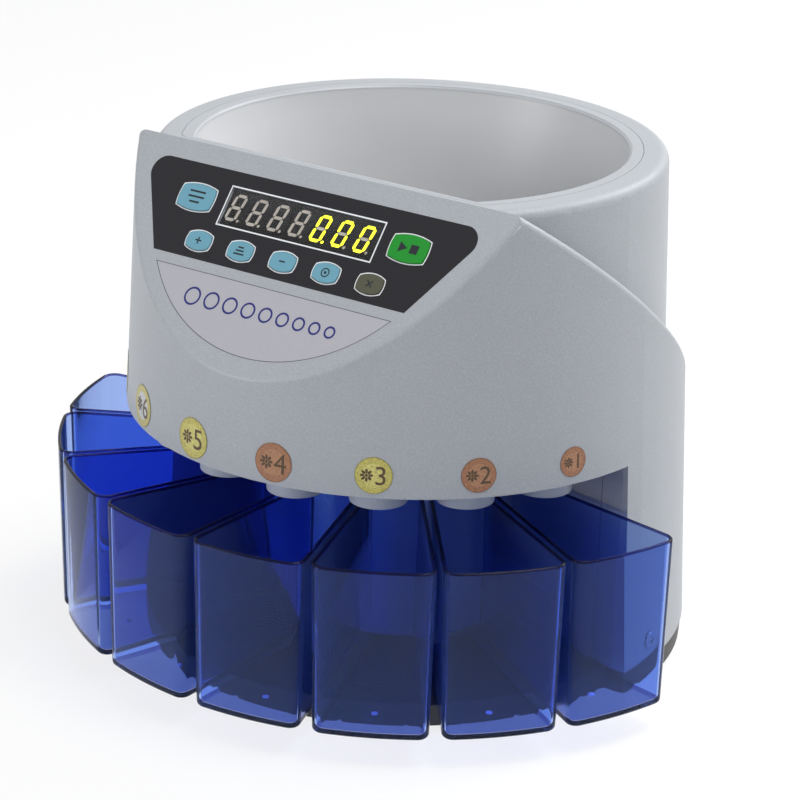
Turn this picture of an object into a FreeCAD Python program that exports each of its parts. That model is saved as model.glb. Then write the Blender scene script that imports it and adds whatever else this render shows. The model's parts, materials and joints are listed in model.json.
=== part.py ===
"""Eight-way coin sorting machine: one solid per physical piece, in millimetres.

The spindle stands upright, the control panel faces -Y and the machine rests on z = 0.
Shapes are drawn about the spindle axis and shifted at the end, so that the origin lies
under the middle of the whole machine.
"""
import FreeCAD, Part
import math
import os

V = FreeCAD.Vector
UP = V(0, 0, 1)
ORIGIN = V(0, 0, 0)

# Housing: a conical skirt and a narrower hopper tower in one moulding
HEIGHT = 254.0
WALL = 3.0
RIM_R = 125.0
TOWER_DRAFT = 2.0
SKIRT_STEP = 15.0
SKIRT_Z = 122.0
SKIRT_DRAFT = 2.5
SHOULDER_SLOPE = 37.0
OPENING_Y = 12.0
RIM_ROUND = 5.0
EDGE_ROUND = 3.0

# Control panel: a slanted flat, measured down the slope from its upper edge
PANEL_SLOPE = 51.5
PANEL_DEPTH = 54.0
PANEL_LIP = 5.0
OVERLAY_TOP = 10.2
OVERLAY_BOTTOM = 57.6
OVERLAY_TOP_SIDE = 8.1
OVERLAY_BOTTOM_SIDE = 10.1
OVERLAY_CORNER = 8.0
OVERLAY_T = 0.6
LABEL_TOP = 62.6
LABEL_SIDE = 10.7
LABEL_EDGE = 9.5
WINDOW_EDGE = 0.85
WINDOW_H = 19.6
WINDOW_S = 28.0
DIGIT_PITCH = 12.7
LEFT_DIGITS = 3
RIGHT_DIGITS = 4
BIG_KEY_W = 20.8
BIG_KEY_H = 13.6
BIG_KEY_X = 63.0
BIG_KEY_S = 27.6
SMALL_KEY_W = 14.4
SMALL_KEY_H = 9.8
SMALL_KEY_PITCH = 25.4
SMALL_KEY_S = 48.4
KEY_RISE = 0.8
KEY_TRAVEL = 0.5
KEY_GAP = 0.3
BOARD_DEPTH = 8.0
BOARD_T = 1.6
SWITCH_SIDE = 6.0

# Hopper bowl
RIM_W = 12.5
BOWL_LIP = 6.5
BOWL_FLAT_Z = 196.0
BOWL_T = 2.5
BOWL_FLANGE = 5.0
BOWL_BOTTOM_Z = 160.5
SEAM = 0.25

# Base, feet and the wall that closes the cup bay
FOOT_H = 3.0
FOOT_R = 9.0
FOOT_INSET = 30.0
BASE_H = 11.0
BASE_INSET = 6.0
BASE_TAPER = 0.8
BASE_STEP = 0.3
SCREW_LIFT = 8.0
DRUM_R = 66.0
DRUM_T = 2.5
FLANGE_W = 12.0
FLANGE_SEAM = 0.4
NOTCH_W = 8.0
NOTCH_H = 9.0

# Sorting deck, rail and coin disc
DECK_T = 3.0
SPOUT_R = 13.8
SPOUT_T = 2.0
SPOUT_DROP = 9.5
SPOUT_INSET = 23.0
RAIL_T = 2.0
RAIL_GAP = 1.5
POST_R = 3.5
POST_INSET = 4.5
COIN_TOP_Z = 157.0
COIN_PLAY = 0.8
COIN_DIAMETERS = (25.75, 24.25, 23.25, 22.25, 21.25, 19.75, 18.75, 16.25)
STICKER_T = 0.25
STICKER_LIFT = 12.0
DISC_INSET = 35.0
DISC_T = 3.0
DISC_GAP = 2.0
MAT_T = 1.0

# Drive
SPINDLE_R = 5.0
RUNNING = 0.03
BEARING_R = 13.0
BEARING_H = 8.0
BEARING_TUBE_T = 4.0
DRIVE_LENGTH = 38.0
PULLEY_R = 45.0
PULLEY_H = 12.0
MOTOR_PULLEY_R = 12.0
BELT_T = 1.5
BELT_W = 8.0
BELT_GAP = 0.3
MOTOR_R = 34.0
MOTOR_H = 40.0
MOTOR_INSET = 48.0
MOTOR_SHAFT_R = 3.0
BRACKET_T = 3.0
BRACKET_SIDE = 8.0
BRACKET_POST_R = 5.0

# Power supply on the base, behind the left wall of the cup bay
POWER_GAP = 5.0
POWER_CLEAR = 1.5
POWER_W = 54.0
POWER_D = 44.0
POWER_EDGE = 4.0
STANDOFF_H = 6.0
STANDOFF_R = 3.0
CORE_W = 32.0
CORE_D = 30.0
CORE_H = 34.0
COIL_W = 26.0
COIL_D = 38.0
COIL_H = 22.0
CAPACITOR_R = 6.0
CAPACITOR_H = 22.0
CAPACITOR_PITCH = 14.0

# Mains side, set in a flat pocket of the rear wall
POCKET_AZIMUTH = 137.0
POCKET_W = 56.0
POCKET_H = 32.0
POCKET_Z = 62.0
POCKET_DEPTH = 4.5
INLET_W = 27.0
INLET_H = 19.5
ROCKER_W = 11.0
ROCKER_H = 17.0
ROCKER_TILT = 9.0

# Coin cups
CUP_COUNT = 8
CUP_PITCH = 20.0
CUP_SETBACK = 8.0
CUP_REACH = 40.0
CUP_TOP_Z = 99.5
CUP_T = 2.0
CUP_GAP = 2.6
CUP_DRAFT = 1.0
CUP_CORNER = 7.0
CUP_INNER_CORNER = 4.0
CUP_FOOT_ROUND = 2.6
CUP_FLOAT = 0.3

# Sizes that follow from the ones above
SKIRT_R = RIM_R + SKIRT_STEP
WINDOW_W = (LEFT_DIGITS + RIGHT_DIGITS) * DIGIT_PITCH + 2 * WINDOW_EDGE
BASE_TOP = FOOT_H + BASE_H
BASE_FRONT_R = SKIRT_R - BASE_INSET
FOOT_RING_R = BASE_FRONT_R - FOOT_INSET
PANEL_TOP_Y = RIM_R - PANEL_DEPTH
BOWL_R = RIM_R - RIM_W
BOWL_MOUTH_R = BOWL_R - BOWL_LIP
BOWL_FRONT_Y = PANEL_TOP_Y - PANEL_LIP
SPOUT_RING_R = SKIRT_R - SPOUT_INSET
DISC_R = SPOUT_RING_R - DISC_INSET
MOTOR_Y = SKIRT_R - MOTOR_INSET
BRACKET_X = MOTOR_R + BRACKET_SIDE
POWER_RIGHT = -BRACKET_X - BRACKET_POST_R - POWER_GAP
POWER_X = POWER_RIGHT - POWER_W / 2
POWER_Z = BASE_TOP + STANDOFF_H
CUP_R = SKIRT_R + CUP_REACH
DECK_Z = SKIRT_Z
RAIL_Z = COIN_TOP_Z - RAIL_T
SPOUT_Z = SKIRT_Z - SPOUT_DROP
CUP_FLOOR_Z = BASE_TOP + CUP_FLOAT
CUP_INNER_R = DRUM_R + CUP_SETBACK + CUP_GAP
PULLEY_Z = DECK_Z - DECK_T - DRIVE_LENGTH - PULLEY_H
BRACKET_Z = PULLEY_Z - BRACKET_T - 1.5
CUP_AZIMUTHS = [CUP_PITCH * (i - (CUP_COUNT - 1) / 2) for i in range(CUP_COUNT)]


def tan(degrees):
    return math.tan(math.radians(degrees))


def sin(degrees):
    return math.sin(math.radians(degrees))


def cos(degrees):
    return math.cos(math.radians(degrees))


def skirt_radius(z):
    return SKIRT_R - (z - SKIRT_Z) * tan(SKIRT_DRAFT)


def tower_radius(z):
    return RIM_R + (HEIGHT - z) * tan(TOWER_DRAFT)


def panel_half(s):
    """Half the panel's width where it meets the skirt, at a distance down the slope."""
    y = PANEL_TOP_Y + s * cos(PANEL_SLOPE)
    return math.sqrt(skirt_radius(HEIGHT - s * sin(PANEL_SLOPE)) ** 2 - y ** 2)


def panel_length():
    """Distance down the slope to the panel's lowest point, on the skirt's front line."""
    gain = cos(PANEL_SLOPE) - sin(PANEL_SLOPE) * tan(SKIRT_DRAFT)
    return (skirt_radius(HEIGHT) - PANEL_TOP_Y) / gain


FLANGE_R = skirt_radius(DECK_Z) - WALL - FLANGE_W
RAIL_OUTER_R = skirt_radius(COIN_TOP_Z) - WALL - RAIL_GAP
POWER_REACH = skirt_radius(POWER_Z + CORE_H) - WALL - POWER_CLEAR
POWER_Y = math.sqrt(POWER_REACH ** 2 - (POWER_RIGHT - POWER_W) ** 2) - POWER_D / 2
OVERLAY_TOP_HALF = panel_half(OVERLAY_TOP) - OVERLAY_TOP_SIDE
OVERLAY_BOTTOM_HALF = panel_half(OVERLAY_BOTTOM) - OVERLAY_BOTTOM_SIDE
LABEL_HALF = panel_half(LABEL_TOP) - LABEL_SIDE
LABEL_BOTTOM = panel_length() - LABEL_EDGE

# The whole machine is centred over the origin between its cups and its rear wall
FRONT_REACH = CUP_R - CUP_SETBACK
REAR_REACH = skirt_radius(BASE_TOP)
AXIS_Y = (FRONT_REACH - REAR_REACH) / 2


def cylinder(radius, z0, z1, x=0.0, y=0.0):
    return Part.makeCylinder(radius, z1 - z0, V(x, y, z0))


def tube(outer, inner, z0, z1, x=0.0, y=0.0):
    return cylinder(outer, z0, z1, x, y).cut(cylinder(inner, z0 - 1, z1 + 1, x, y))


def cone(r0, r1, z0, z1):
    return Part.makeCone(r0, r1, z1 - z0, V(0, 0, z0))


def block(x0, x1, y0, y1, z0, z1):
    return Part.makeBox(x1 - x0, y1 - y0, z1 - z0, V(x0, y0, z0))


def prism(points, direction):
    return Part.Face(Part.makePolygon(points + points[:1])).extrude(direction)


def revolved(profile):
    """Turn an (r, z) outline about the spindle axis."""
    points = [V(r, 0, z) for r, z in profile]
    return Part.Face(Part.makePolygon(points + points[:1])).revolve(ORIGIN, UP, 360)


def turned(shape, azimuth, centre=ORIGIN):
    """Swing a shape drawn at the front (-Y) to an azimuth, positive towards +X."""
    return shape.rotated(centre, UP, azimuth)


def merged(shapes):
    return shapes[0].multiFuse(shapes[1:]).removeSplitter()


def pan_screw(length, head_r=3.4, shank_r=1.5):
    """Cross-head pan screw along -Z, with its head's underside at the origin."""
    dome = Part.makeSphere(head_r * 1.25, V(0, 0, 2.0 - head_r * 1.25))
    head = Part.makeCylinder(head_r, 2.0).common(dome)
    shank = Part.makeCylinder(shank_r, length, V(0, 0, -length))
    slot = Part.makeBox(head_r * 1.1, 0.7, 1.2, V(-head_r * 0.55, -0.35, 1.1))
    cross = slot.fuse(slot.rotated(ORIGIN, UP, 90))
    return head.fuse(shank).cut(cross)


def panel_placed(shape):
    """Move a shape drawn as (x, up the slope, outward) onto the panel's upper edge."""
    place = FreeCAD.Placement(V(0, -PANEL_TOP_Y, HEIGHT), FreeCAD.Rotation(V(1, 0, 0), PANEL_SLOPE))
    moved = shape.copy()
    moved.Placement = place.multiply(moved.Placement)
    return moved


def panel_block(x0, x1, s0, s1, n0, n1):
    """A box on the panel: s runs down the slope and n outwards."""
    return block(x0, x1, -s1, -s0, n0, n1)


def beyond_panel(inset):
    """Everything outside the panel's plane moved inwards by an inset."""
    far = 4 * HEIGHT
    return panel_placed(block(-far, far, -far, far, -inset, far))


def above_shoulder(inset):
    """Everything above the sloping top of the skirt moved down by an inset."""
    far = 4 * HEIGHT
    half_space = block(-far, far, -far, far, -inset, far)
    half_space.Placement = FreeCAD.Placement(
        V(0, -PANEL_TOP_Y, HEIGHT), FreeCAD.Rotation(V(1, 0, 0), -SHOULDER_SLOPE))
    return half_space


def housing_volume(inset, z0, z1):
    """The housing's outer form moved inwards, between two heights."""
    skirt = cone(skirt_radius(z0) - inset, skirt_radius(z1) - inset, z0, z1)
    tower = cone(tower_radius(z0) - inset, tower_radius(z1) - inset, z0, z1)
    return skirt.cut(above_shoulder(inset)).fuse(tower).cut(beyond_panel(inset))


def bowl_outline(inset, z0, z1):
    """The D-shaped mouth: a circle with a straight front and rounded corners."""
    radius = BOWL_R - inset
    front = BOWL_FRONT_Y + BOWL_T - inset
    mouth = cylinder(radius, z0, z1).cut(block(-radius, radius, -2 * radius, -front, z0, z1))
    corners = [e for e in mouth.Edges if abs(e.tangentAt(e.FirstParameter).z) > 0.9
               and e.BoundBox.YMax < 0]
    return mouth.makeFillet(OVERLAY_CORNER, corners)


def barrel_face(width, height):
    """A key's outline: bulged top and bottom edges and slightly bulged sides."""
    x, y = width / 2 - 0.6, height / 2 - 1.7
    right = Part.Arc(V(x, -y, 0), V(width / 2, 0, 0), V(x, y, 0)).toShape()
    top = Part.Arc(V(x, y, 0), V(0, height / 2, 0), V(-x, y, 0)).toShape()
    left = Part.Arc(V(-x, y, 0), V(-width / 2, 0, 0), V(-x, -y, 0)).toShape()
    bottom = Part.Arc(V(-x, -y, 0), V(0, -height / 2, 0), V(x, -y, 0)).toShape()
    return Part.Face(Part.Wire([right, top, left, bottom]))


def key_layout():
    """Every key as (name, x, s, width, height)."""
    keys = [("report_key", -BIG_KEY_X, BIG_KEY_S, BIG_KEY_W, BIG_KEY_H),
            ("start_key", BIG_KEY_X, BIG_KEY_S, BIG_KEY_W, BIG_KEY_H)]
    names = ("plus_key", "batch_key", "minus_key", "set_key", "clear_key")
    for i, name in enumerate(names):
        keys.append((name, SMALL_KEY_PITCH * (i - 2), SMALL_KEY_S, SMALL_KEY_W, SMALL_KEY_H))
    return keys


def overlay_solid(n0, n1):
    """The panel film: wider above, with round upper corners and pointed lower ones."""
    corners = [V(-OVERLAY_TOP_HALF, -OVERLAY_TOP, n0), V(OVERLAY_TOP_HALF, -OVERLAY_TOP, n0),
               V(OVERLAY_BOTTOM_HALF, -OVERLAY_BOTTOM, n0), V(-OVERLAY_BOTTOM_HALF, -OVERLAY_BOTTOM, n0)]
    film = prism(corners, V(0, 0, n1 - n0))
    upper = [e for e in film.Edges if e.BoundBox.YLength < 1e-6 and e.BoundBox.XLength < 1e-6
             and e.BoundBox.YMax > -OVERLAY_TOP - 1]
    return film.makeFillet(OVERLAY_CORNER, upper)


def label_solid(n0, n1):
    """The bare name field below the keys: straight above, one arc below."""
    left, right = V(-LABEL_HALF, -LABEL_TOP, n0), V(LABEL_HALF, -LABEL_TOP, n0)
    arc = Part.Arc(left, V(0, -LABEL_BOTTOM, n0), right).toShape()
    return Part.Face(Part.Wire([arc, Part.makeLine(right, left)])).extrude(V(0, 0, n1 - n0))


def pocket_box(width, height, d0, d1):
    """A box on the mains pocket: d is the distance from the spindle axis."""
    return turned(block(-width / 2, width / 2, -d1, -d0, POCKET_Z - height / 2, POCKET_Z + height / 2),
                  POCKET_AZIMUTH)


def pocket_distance():
    """Distance of the pocket's flat from the spindle axis."""
    return math.sqrt(skirt_radius(POCKET_Z) ** 2 - (POCKET_W / 2) ** 2) - POCKET_DEPTH


def make_housing():
    outer = round_housing(housing_volume(0, BASE_TOP, HEIGHT).removeSplitter())
    inner = housing_volume(WALL, BASE_TOP - 1, HEIGHT - WALL)
    shell = outer.cut(inner).cut(bowl_outline(-SEAM, HEIGHT - 2 * WALL, HEIGHT + 1))
    bay = block(-2 * SKIRT_R, 2 * SKIRT_R, -2 * SKIRT_R, -OPENING_Y, BASE_TOP - 1, SKIRT_Z)
    shell = shell.fuse(bay_walls(WALL / 2).cut(cylinder(FLANGE_R, 0, HEIGHT))).cut(bay)
    flat = pocket_distance()
    shelf = pocket_box(POCKET_W + 2 * WALL, POCKET_H + 2 * WALL, flat - WALL, SKIRT_R + 20)
    shelf = shelf.common(outer)
    shell = shell.fuse(shelf).cut(pocket_box(POCKET_W, POCKET_H, flat, SKIRT_R + 20))
    shell = shell.cut(pocket_cutouts(flat - WALL - 1, flat + 1))
    shell = shell.cut(panel_placed(overlay_solid(-OVERLAY_T, 1)))
    shell = shell.cut(panel_placed(label_solid(-OVERLAY_T, 1)))
    window = panel_block(-WINDOW_W / 2, WINDOW_W / 2, WINDOW_S - WINDOW_H / 2, WINDOW_S + WINDOW_H / 2,
                         -WALL - 1, 0)
    shell = shell.cut(panel_placed(window))
    for _, x, s, width, height in key_layout():
        hole = barrel_face(width + 2 * KEY_GAP, height + 2 * KEY_GAP).extrude(V(0, 0, WALL + 2))
        shell = shell.cut(panel_placed(hole.translated(V(x, -s, -WALL - 1))))
    for screw_hole in housing_screw_places(cylinder(1.6, -14, 6)):
        shell = shell.cut(screw_hole)
    return shell.removeSplitter()


def on_skirt(point):
    return abs(math.hypot(point.x, point.y) - skirt_radius(point.z)) < 0.3


def round_housing(outer):
    """Soften the panel's lower edge, the two shoulders and the rim."""
    def middle(edge):
        return edge.valueAt((edge.FirstParameter + edge.LastParameter) / 2)
    soft = [e for e in outer.Edges
            if e.Curve.TypeId == "Part::GeomEllipse" and on_skirt(middle(e))]
    outer = outer.makeFillet(EDGE_ROUND, soft)
    rim = [e for e in outer.Edges
           if e.Curve.TypeId == "Part::GeomCircle" and e.BoundBox.ZMin > HEIGHT - 0.01]
    return outer.makeFillet(RIM_ROUND, rim)


def housing_screw_places(tool):
    """Copies of a tool drawn along Z, pointing out through the wall at the four base screws."""
    places = []
    z = BASE_TOP + SCREW_LIFT
    for azimuth in (-160, -94, 94, 160):
        out = tool.rotated(ORIGIN, V(1, 0, 0), 90).translated(V(0, -skirt_radius(z), z))
        places.append(turned(out, azimuth))
    return places


def pocket_cutouts(d0, d1):
    """Openings for the inlet and the rocker switch, side by side."""
    def opening(x, width, height):
        return block(x - width / 2, x + width / 2, -d1, -d0, POCKET_Z - height / 2, POCKET_Z + height / 2)
    inlet = opening(inlet_x(), INLET_W, INLET_H)
    switch = opening(switch_x(), ROCKER_W + 2, ROCKER_H + 2)
    return turned(inlet.fuse(switch), POCKET_AZIMUTH)


def make_cup():
    """A drafted wedge-shaped cup at the front, its walls of even thickness."""
    def wedge(inset, z0, z1):
        def outline(z):
            spread = inset + (CUP_TOP_Z - z) * tan(CUP_DRAFT)
            side = CUP_GAP / 2 + spread
            half = CUP_PITCH / 2
            r0, r1 = CUP_INNER_R + spread, CUP_R * 1.1
            x0 = r0 * tan(half) - side / cos(half)
            x1 = r1 * tan(half) - side / cos(half)
            corners = [V(-x0, -r0, z), V(x0, -r0, z), V(x1, -r1, z), V(-x1, -r1, z)]
            return Part.makePolygon(corners + corners[:1])
        body = Part.makeLoft([outline(z0), outline(z1)], True, True)
        r0 = CUP_R - inset - (CUP_TOP_Z - z0) * tan(CUP_DRAFT)
        r1 = CUP_R - inset - (CUP_TOP_Z - z1) * tan(CUP_DRAFT)
        body = body.common(cone(r0, r1, z0, z1))
        upright = [e for e in body.Edges if e.BoundBox.ZLength > (z1 - z0) * 0.9]
        middle = -(CUP_R + CUP_INNER_R) / 2
        body = body.makeFillet(CUP_CORNER - inset, [e for e in upright if e.BoundBox.YMax < middle])
        upright = [e for e in body.Edges if e.BoundBox.ZLength > (z1 - z0) * 0.9]
        body = body.makeFillet(CUP_INNER_CORNER - inset, [e for e in upright if e.BoundBox.YMin > middle])
        floor = [e for e in body.Edges if e.BoundBox.ZMax < z0 + 0.01]
        return body.makeFillet(CUP_FOOT_ROUND - inset * 0.6, floor)
    cup = wedge(0, CUP_FLOOR_Z, CUP_TOP_Z).cut(wedge(CUP_T, CUP_FLOOR_Z + CUP_T, CUP_TOP_Z + 0.01))
    return cup.translated(V(0, CUP_SETBACK, 0))


def make_bowl():
    """Hopper bowl: a funnel with a flat front, hung from the rim by a flange."""
    def front_block(inset):
        far = 2 * HEIGHT
        y, low = -BOWL_FRONT_Y - inset, COIN_TOP_Z + inset
        points = [V(-far, y, far), V(-far, y, BOWL_FLAT_Z - inset), V(-far, -BOWL_MOUTH_R, low),
                  V(-far, -far, low), V(-far, -far, far)]
        return prism(points, V(2 * far, 0, 0))
    foot_r = DISC_R + DISC_GAP
    lip_z = HEIGHT - 3 * WALL
    funnel = revolved([(0, BOWL_BOTTOM_Z), (foot_r, BOWL_BOTTOM_Z), (BOWL_MOUTH_R, HEIGHT - 1),
                       (BOWL_MOUTH_R + 1, HEIGHT), (0, HEIGHT)])
    skin = revolved([(0, BOWL_BOTTOM_Z), (foot_r + BOWL_T, BOWL_BOTTOM_Z),
                     (BOWL_MOUTH_R + BOWL_T - 2, lip_z), (0, lip_z)])
    lip = bowl_outline(0, lip_z, HEIGHT)
    flange = bowl_outline(-BOWL_FLANGE, HEIGHT - 2 * WALL, HEIGHT - WALL - 0.05)
    flange = flange.cut(block(-BOWL_R, BOWL_R, -2 * BOWL_R, -BOWL_FRONT_Y - BOWL_T, 0, HEIGHT))
    body = merged([skin.cut(front_block(BOWL_T)), lip, flange])
    return body.cut(funnel.cut(front_block(0))).removeSplitter()


def make_base():
    """Inverted pan: a flat top for the cups, a tapered rim, foot bosses and radial ribs."""
    def pan(inset, z0, z1):
        def disc(radius):
            low = radius - BASE_TAPER * (BASE_TOP - z0) / BASE_H - inset
            return cone(low, radius - BASE_TAPER * (BASE_TOP - z1) / BASE_H - inset, z0, z1)
        far = 2 * SKIRT_R
        rear = disc(skirt_radius(BASE_TOP) - BASE_STEP).cut(block(-far, far, -far, -OPENING_Y + inset, z0, z1))
        return disc(BASE_FRONT_R).fuse(rear)
    base = pan(0, FOOT_H, BASE_TOP).cut(pan(WALL, FOOT_H - 1, BASE_TOP - WALL))
    pieces = [base]
    for azimuth in range(0, 360, 45):
        rib = block(-1, 1, -FOOT_RING_R - FOOT_R, -20, FOOT_H + 3, BASE_TOP - WALL + 0.5)
        pieces.append(turned(rib, azimuth))
    for x, y in foot_places():
        pieces.append(cylinder(FOOT_R + 1.5, FOOT_H, BASE_TOP - WALL + 0.5, x, y))
    lug = block(-5, 5, -10, 0, BASE_TOP - 0.5, BASE_TOP + 22)
    gap = 0.4
    for azimuth in (-160, -94, 94, 160):
        reach = skirt_radius(BASE_TOP + 22) - WALL - gap
        pieces.append(turned(lug.translated(V(0, -reach + 10, 0)), azimuth))
    for x, y in bracket_places():
        pieces.append(cylinder(BRACKET_POST_R, BASE_TOP - 0.5, BRACKET_Z, x, y))
    base = merged(pieces)
    for hole in housing_screw_places(cylinder(1.5, -12, 4)):
        base = base.cut(hole)
    for x, y in bracket_places():
        base = base.cut(cylinder(1.5, BRACKET_Z - 9, BRACKET_Z + 1, x, y))
    return base


def foot_places():
    side = FOOT_RING_R * sin(45)
    return [(x, y) for x in (-side, side) for y in (-side, side)]


def bracket_places():
    return [(x, MOTOR_Y + y) for x in (-BRACKET_X, BRACKET_X) for y in (-26, 26)]


def bay_wall_line(offset):
    """A side wall of the cup bay, drawn on the right, set back from the last cup's side."""
    angle = CUP_PITCH * CUP_COUNT / 2
    length = skirt_radius(BASE_TOP)
    wall = block(0, length, offset, offset + DRUM_T, BASE_TOP, DECK_Z)
    wall = wall.rotated(ORIGIN, UP, angle - 90)
    reach = skirt_radius(DECK_Z) - WALL
    drop = OPENING_Y - reach * tan(90 - angle)
    return wall.translated(V(0, -drop, 0))


def bay_walls(inset):
    """Both flat walls of the cup bay, from the column out to the housing moved inwards by an inset."""
    right = bay_wall_line(0).cut(cylinder(DRUM_R - DRUM_T, 0, HEIGHT))
    left = right.mirror(ORIGIN, V(1, 0, 0))
    walls = right.fuse(left).common(housing_volume(inset, BASE_TOP - 1, HEIGHT - WALL))
    return walls.cut(block(-DRUM_R * 0.9, DRUM_R * 0.9, -SKIRT_R, SKIRT_R, 0, HEIGHT))


def make_drum_wall():
    """The round column behind the cups and its two flat wings, which end at the housing's flanges."""
    walls = bay_walls(WALL).common(cylinder(FLANGE_R - FLANGE_SEAM, 0, HEIGHT))
    walls = walls.cut(tube(FLANGE_R, FLANGE_R - NOTCH_W, DECK_Z - NOTCH_H, DECK_Z + 1))
    column = tube(DRUM_R, DRUM_R - DRUM_T, BASE_TOP, DECK_Z)
    column = column.cut(block(-SKIRT_R, SKIRT_R, 4, SKIRT_R, 0, HEIGHT))
    return merged([column, walls])


def rail_post_places():
    """Posts between the coin holes, and two more behind."""
    places = [(RAIL_OUTER_R - POST_INSET, a) for a in (-80, -40, 0, 40, 80)]
    places += [(DISC_R + 8, a) for a in (-120, -160, 160, 120)]
    return [(r * sin(a), -r * cos(a)) for r, a in places]


def make_deck():
    """Flat deck under the rail with one round spout for each coin size."""
    top = DECK_Z + DECK_T
    deck = cylinder(SKIRT_R, DECK_Z, top).common(housing_volume(WALL + 0.4, BASE_TOP, HEIGHT))
    pieces = [deck]
    for azimuth in CUP_AZIMUTHS:
        pieces.append(turned(cylinder(SPOUT_R, SPOUT_Z, top, 0, -SPOUT_RING_R), azimuth))
    for x, y in rail_post_places():
        pieces.append(cylinder(POST_R, top - 0.5, RAIL_Z, x, y))
    deck = merged(pieces)
    for azimuth in CUP_AZIMUTHS:
        bore = cylinder(SPOUT_R - SPOUT_T, SPOUT_Z - 1, top + 1, 0, -SPOUT_RING_R)
        deck = deck.cut(turned(bore, azimuth))
    deck = deck.cut(cylinder(SPINDLE_R + 3, DECK_Z - 1, top + 1))
    for x, y in bearing_screw_places():
        deck = deck.cut(cylinder(1.6, DECK_Z - 1, top + 1, x, y))
    return deck


def make_rail():
    """Sorting rail: a ring with a round hole for each coin, small to large."""
    rail = tube(RAIL_OUTER_R, DISC_R + DISC_GAP, RAIL_Z, COIN_TOP_Z)
    rail = rail.common(housing_volume(WALL + 0.4, BASE_TOP, HEIGHT))
    for azimuth, diameter in zip(CUP_AZIMUTHS, COIN_DIAMETERS):
        hole = cylinder(diameter / 2 + COIN_PLAY / 2, RAIL_Z - 1, COIN_TOP_Z + 1, 0, -SPOUT_RING_R)
        rail = rail.cut(turned(hole, azimuth))
    return rail


def make_sensors():
    """A small light gate beside each spout, under the rail."""
    gates = []
    for azimuth in CUP_AZIMUTHS:
        r = SPOUT_RING_R - SPOUT_R - 1
        gate = block(-5, 5, -r, -r + 8, DECK_Z + DECK_T, DECK_Z + DECK_T + 12)
        slot = block(-1.5, 1.5, -r - 1, -r + 5, DECK_Z + DECK_T + 4, DECK_Z + DECK_T + 13)
        gates.append(turned(gate.cut(slot), azimuth))
    return Part.Compound(gates)


def make_stickers():
    """A thin round sticker for each coin size on the skirt above its spout."""
    z = SKIRT_Z + STICKER_LIFT
    skin = housing_volume(-STICKER_T, SKIRT_Z, z + 30).cut(housing_volume(0, SKIRT_Z - 1, z + 31))
    stickers = []
    for azimuth, diameter in zip(CUP_AZIMUTHS, COIN_DIAMETERS):
        plug = Part.makeCylinder(diameter / 2, 40, V(0, -SKIRT_R + 20, z), V(0, -1, 0))
        lifted = plug.translated(V(0, 0, max(0, diameter / 2 - STICKER_LIFT + 1)))
        stickers.append(turned(lifted, azimuth).common(skin).Solids[0])
    return Part.Compound(stickers)


def make_coin_disc():
    """Feed disc with a low cone, a rim step and a hub on the spindle."""
    low = COIN_TOP_Z - DISC_T
    hub = SPINDLE_R + 9
    disc = revolved([(0, low - 12), (hub, low - 12), (hub, low), (DISC_R, low), (DISC_R, COIN_TOP_Z),
                     (30, COIN_TOP_Z), (20, COIN_TOP_Z + 5), (0, COIN_TOP_Z + 5)])
    return disc.cut(cylinder(SPINDLE_R, 0, HEIGHT))


def make_disc_mat():
    """Rubber ring on the disc, cut by radial grooves."""
    mat = tube(DISC_R - 4, 32, COIN_TOP_Z, COIN_TOP_Z + MAT_T)
    for azimuth in range(0, 360, 30):
        mat = mat.cut(turned(block(-1, 1, -DISC_R, -40, COIN_TOP_Z + MAT_T / 2, HEIGHT), azimuth))
    return mat


def make_disc_nut():
    """Domed clamp nut with six flutes on the spindle's end."""
    low = COIN_TOP_Z + 5
    nut = revolved([(0, low), (14, low), (14, low + 5), (9, low + 9), (0, low + 10)])
    for azimuth in range(0, 360, 60):
        nut = nut.cut(turned(cylinder(3, low - 1, low + 12, 0, -16), azimuth))
    return nut.cut(cylinder(SPINDLE_R, 0, low + 6))


def make_spindle():
    return cylinder(SPINDLE_R, PULLEY_Z - 2, COIN_TOP_Z + 10.5)


def make_bearing(z0):
    ring = tube(BEARING_R, SPINDLE_R + RUNNING, z0, z0 + BEARING_H)
    groove = tube(BEARING_R - 2.2, SPINDLE_R + 2.2, 0, 0.8)
    return ring.cut(groove.translated(V(0, 0, z0))).cut(groove.translated(V(0, 0, z0 + BEARING_H - 0.8)))


def bearing_screw_places():
    r = BEARING_R + BEARING_TUBE_T + 7
    return [(r * sin(a), -r * cos(a)) for a in (45, 135, 225, 315)]


def make_bearing_housing():
    """Flanged tube under the deck with a bearing seat at each end."""
    outer = BEARING_R + BEARING_TUBE_T
    flange = outer + 12
    z0 = DECK_Z - DRIVE_LENGTH
    body = revolved([(0, z0), (outer, z0), (outer, DECK_Z - 6), (outer + 3, DECK_Z - 4), (flange, DECK_Z - 4),
                     (flange, DECK_Z), (0, DECK_Z)])
    body = body.cut(cylinder(BEARING_R - 2, z0 - 1, DECK_Z + 1))
    body = body.cut(cylinder(BEARING_R, z0 - 1, z0 + BEARING_H))
    body = body.cut(cylinder(BEARING_R, DECK_Z - BEARING_H, DECK_Z + 1))
    for x, y in bearing_screw_places():
        body = body.cut(cylinder(1.5, DECK_Z - 5, DECK_Z + 1, x, y))
    return body


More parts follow.
